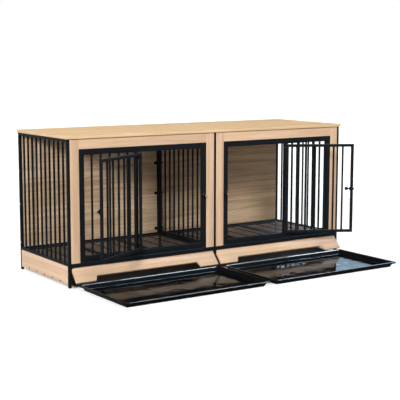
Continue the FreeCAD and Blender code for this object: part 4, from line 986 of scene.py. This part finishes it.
for side, to_side in SIDES:
    piece(oak_along_x, "oak_board", f"kick_board_{side}_oak", to_side([kick]),
          [f"kick_board_{side}"], f"kick_{side}")
    bright(f"kick_pins_{side}_bright", to_side(stub_pins), [f"kick_pins_{side}"],
           f"kick_{side}")
    steel(f"kick_plates_{side}", to_side(plates), [f"kick_hinge_plates_{side}"])
steel("kick_catches_clip", catches + flipped(catches), ["kick_catches"])
kick_foot = KICK_Z + KICK_LOW * math.cos(math.radians(KICK_TILT))
print("kick board hangs to", round(kick_foot, 1), "mm")

# %% [markdown]
# ## Screws
# Five small dark screws hold each side skirt, and three domed bolts show on each rear
# post. A screw's head is a dome with a cross pressed into it: the height is the dome's,
# less a step wherever a point lies near either arm of the cross.

# %% Screw heads


def crossed_head(radius, height, rings=9, points=32):
    """A dome that faces -X, less a cross; it falls with the square of the radius."""
    share = np.linspace(0.04, 1, rings)[:, None]
    turn = np.linspace(0, 2 * np.pi, points, endpoint=False)[None, :]
    across, up = share * radius * np.cos(turn), share * radius * np.sin(turn)
    lift = height * (1 - 0.55 * share ** 2) * np.ones_like(turn)
    arm = (np.minimum(abs(across), abs(up)) < radius * 0.13) & (share < 0.6)
    lift = lift - arm * height * 0.45
    skirt = np.stack([across[-1], up[-1], np.zeros(points)], axis=1)[None]
    head = np.concatenate([skirt, np.stack([across, up, lift], axis=2)[::-1]])
    return grid_solid(np.stack([-head[..., 2], head[..., 0], head[..., 1]], -1)[:, ::-1])


skirt_places = [(-SIDE_OUT, y, 25) for y in 281 + 94.0 * np.arange(-2, 3)]
screws = several(crossed_head(4.5, 1.5), skirt_places)
steel("skirt_screws_crossed", [screws, mirrored(screws)], ["skirt_screws"], sharp=40)
bolts = several(crossed_head(5.0, 3.0), [(-SIDE_OUT, REAR, z) for z in DIVIDER_SCREWS])
bright("post_bolts_domed", [bolts, mirrored(bolts)], ["post_bolts"], sharp=40)
print("screws in each skirt:", len(skirt_places))

# %% [markdown]
# ## Floor and light
# A pale floor and a white room, as in a catalogue picture. The room is white to look at but
# gives only part of the light, so the rooms of the crate are dim inside. The key light
# stands low on the left and in front, where it puts the edge of the top board's shadow
# halfway down the back panels. A broader light in front softens that shadow, and one behind
# lifts the floor there to white. A last, cool light from above only shows as a shine: it
# draws the bright line along each tray's rim. Area lights would be as soft, but they fade
# over a floor this wide. The plain Standard view keeps white paper white, which the filmic
# views turn grey. Under the crate the floor's colour is painted dark, a painted shade where
# little light ever gets: a point's distance beyond the crate's edges is worked out as a
# mask with a soft border.

# %% Floor
FLOOR_REACH, FLOOR_LIFT = 40.0, 0.65
SHADE_HALF_WIDTH, SHADE_MIDDLE, SHADE_HALF_DEPTH, SHADE_SLANT, SHADE_EDGE = (
    0.87, 0.2875, 0.295, 0.35, 0.03)
floor_mesh = bpy.data.meshes.new("studio_floor")
floor_mesh.from_pydata([(x * FLOOR_REACH, y * FLOOR_REACH, 0) for x, y
                        in ((-1, -1), (1, -1), (1, 1), (-1, 1))], [], [(0, 1, 2, 3)])
floor = add_object("studio_floor", floor_mesh)
floor_material, floor_tree, floor_shader = new_material("studio_floor", 0.0)
floor_shader.inputs["Roughness"].default_value = 0.9
floor_shader.inputs["Emission Color"].default_value = (1, 1, 1, 1)
floor_math = partial(math_node, floor_tree)
on_floor = new_node(floor_tree, "SeparateXYZ")
link(object_vector(floor_tree), on_floor.inputs[0])
floor_x, floor_y = on_floor.outputs["X"], on_floor.outputs["Y"]
slant = floor_math("MULTIPLY", floor_math("MAXIMUM", floor_y, 0.0), SHADE_SLANT)
right_of = floor_math("SUBTRACT", floor_x, slant)
left_of = floor_math("MULTIPLY", floor_x, -1.0)
beside = floor_math("SUBTRACT", floor_math("MAXIMUM", right_of, left_of), SHADE_HALF_WIDTH)
from_middle = floor_math("ABSOLUTE", floor_math("SUBTRACT", floor_y, SHADE_MIDDLE))
beyond = floor_math("MAXIMUM", beside, floor_math("SUBTRACT", from_middle, SHADE_HALF_DEPTH))
outside_painted_shade = limited(floor_tree, beyond, -SHADE_EDGE, SHADE_EDGE)
# Painted shade: inside the crate's footprint the floor's own colour is dark, outside it is
# pale.
link(mixed(floor_tree, outside_painted_shade, (0.1, 0.1, 0.105), (0.55, 0.55, 0.55)),
     floor_shader.inputs["Base Color"])
floor_seen = new_node(floor_tree, "LightPath")
lifted = floor_math("MULTIPLY", outside_painted_shade, floor_seen.outputs["Is Camera Ray"])
link(floor_math("MULTIPLY", lifted, FLOOR_LIFT), floor_shader.inputs["Emission Strength"])
floor_mesh.materials.append(floor_material)
floor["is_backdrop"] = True
print("floor reaches", FLOOR_REACH, "m; its material has", len(floor_tree.nodes), "nodes")

# %% Lights


def soft_sun(name, towards, softness, strength):
    """Even light from one side: the direction points from the crate to the light."""
    light = bpy.data.lights.new(name, "SUN")
    light.angle = math.radians(softness)
    light.energy = strength
    lamp = add_object(name, light)
    lamp.rotation_mode = "QUATERNION"
    lamp.rotation_quaternion = Vector(towards).to_track_quat("Z", "Y")
    lamp.location = Vector(towards).normalized() * 5
    return lamp


soft_sun("key_light", (-0.784, -0.526, 0.329), 9, 3.25)
soft_sun("front_light", (-0.15, -0.85, 0.53), 30, 1.25)
soft_sun("rear_light", (0.45, 0.75, 0.62), 50, 1.9)
sheen = soft_sun("rim_sheen", (0.54, 0.0, 0.84), 18, 22.0)
sheen.data.color = (0.72, 0.87, 1.0)
sheen.visible_diffuse = False
ROOM_SHEEN, ROOM_SHINE, ROOM_LIGHT = (0.5, 0.78, 1.05), 2.2, 0.3
world = bpy.data.worlds.new("white_room")
world.use_nodes = True
room = world.node_tree
background = room.nodes["Background"]
seen = new_node(room, "LightPath")
glossy_ray = seen.outputs["Is Glossy Ray"]
link(mixed(room, glossy_ray, (1.0, 1.0, 1.0), ROOM_SHEEN), background.inputs["Color"])
strength = math_node(room, "MAXIMUM", seen.outputs["Is Camera Ray"],
                     math_node(room, "MULTIPLY", glossy_ray, ROOM_SHINE))
link(math_node(room, "MAXIMUM", strength, ROOM_LIGHT), background.inputs["Strength"])
scene.world = world
scene.view_settings.view_transform = "Standard"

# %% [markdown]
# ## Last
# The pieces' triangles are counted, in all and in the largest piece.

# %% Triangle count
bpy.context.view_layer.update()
triangles = [sum(len(face.vertices) - 2 for face in made.data.polygons)
             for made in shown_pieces() if made.type == "MESH"]
print("triangles:", sum(triangles), "in all, at most", max(triangles), "in a piece")
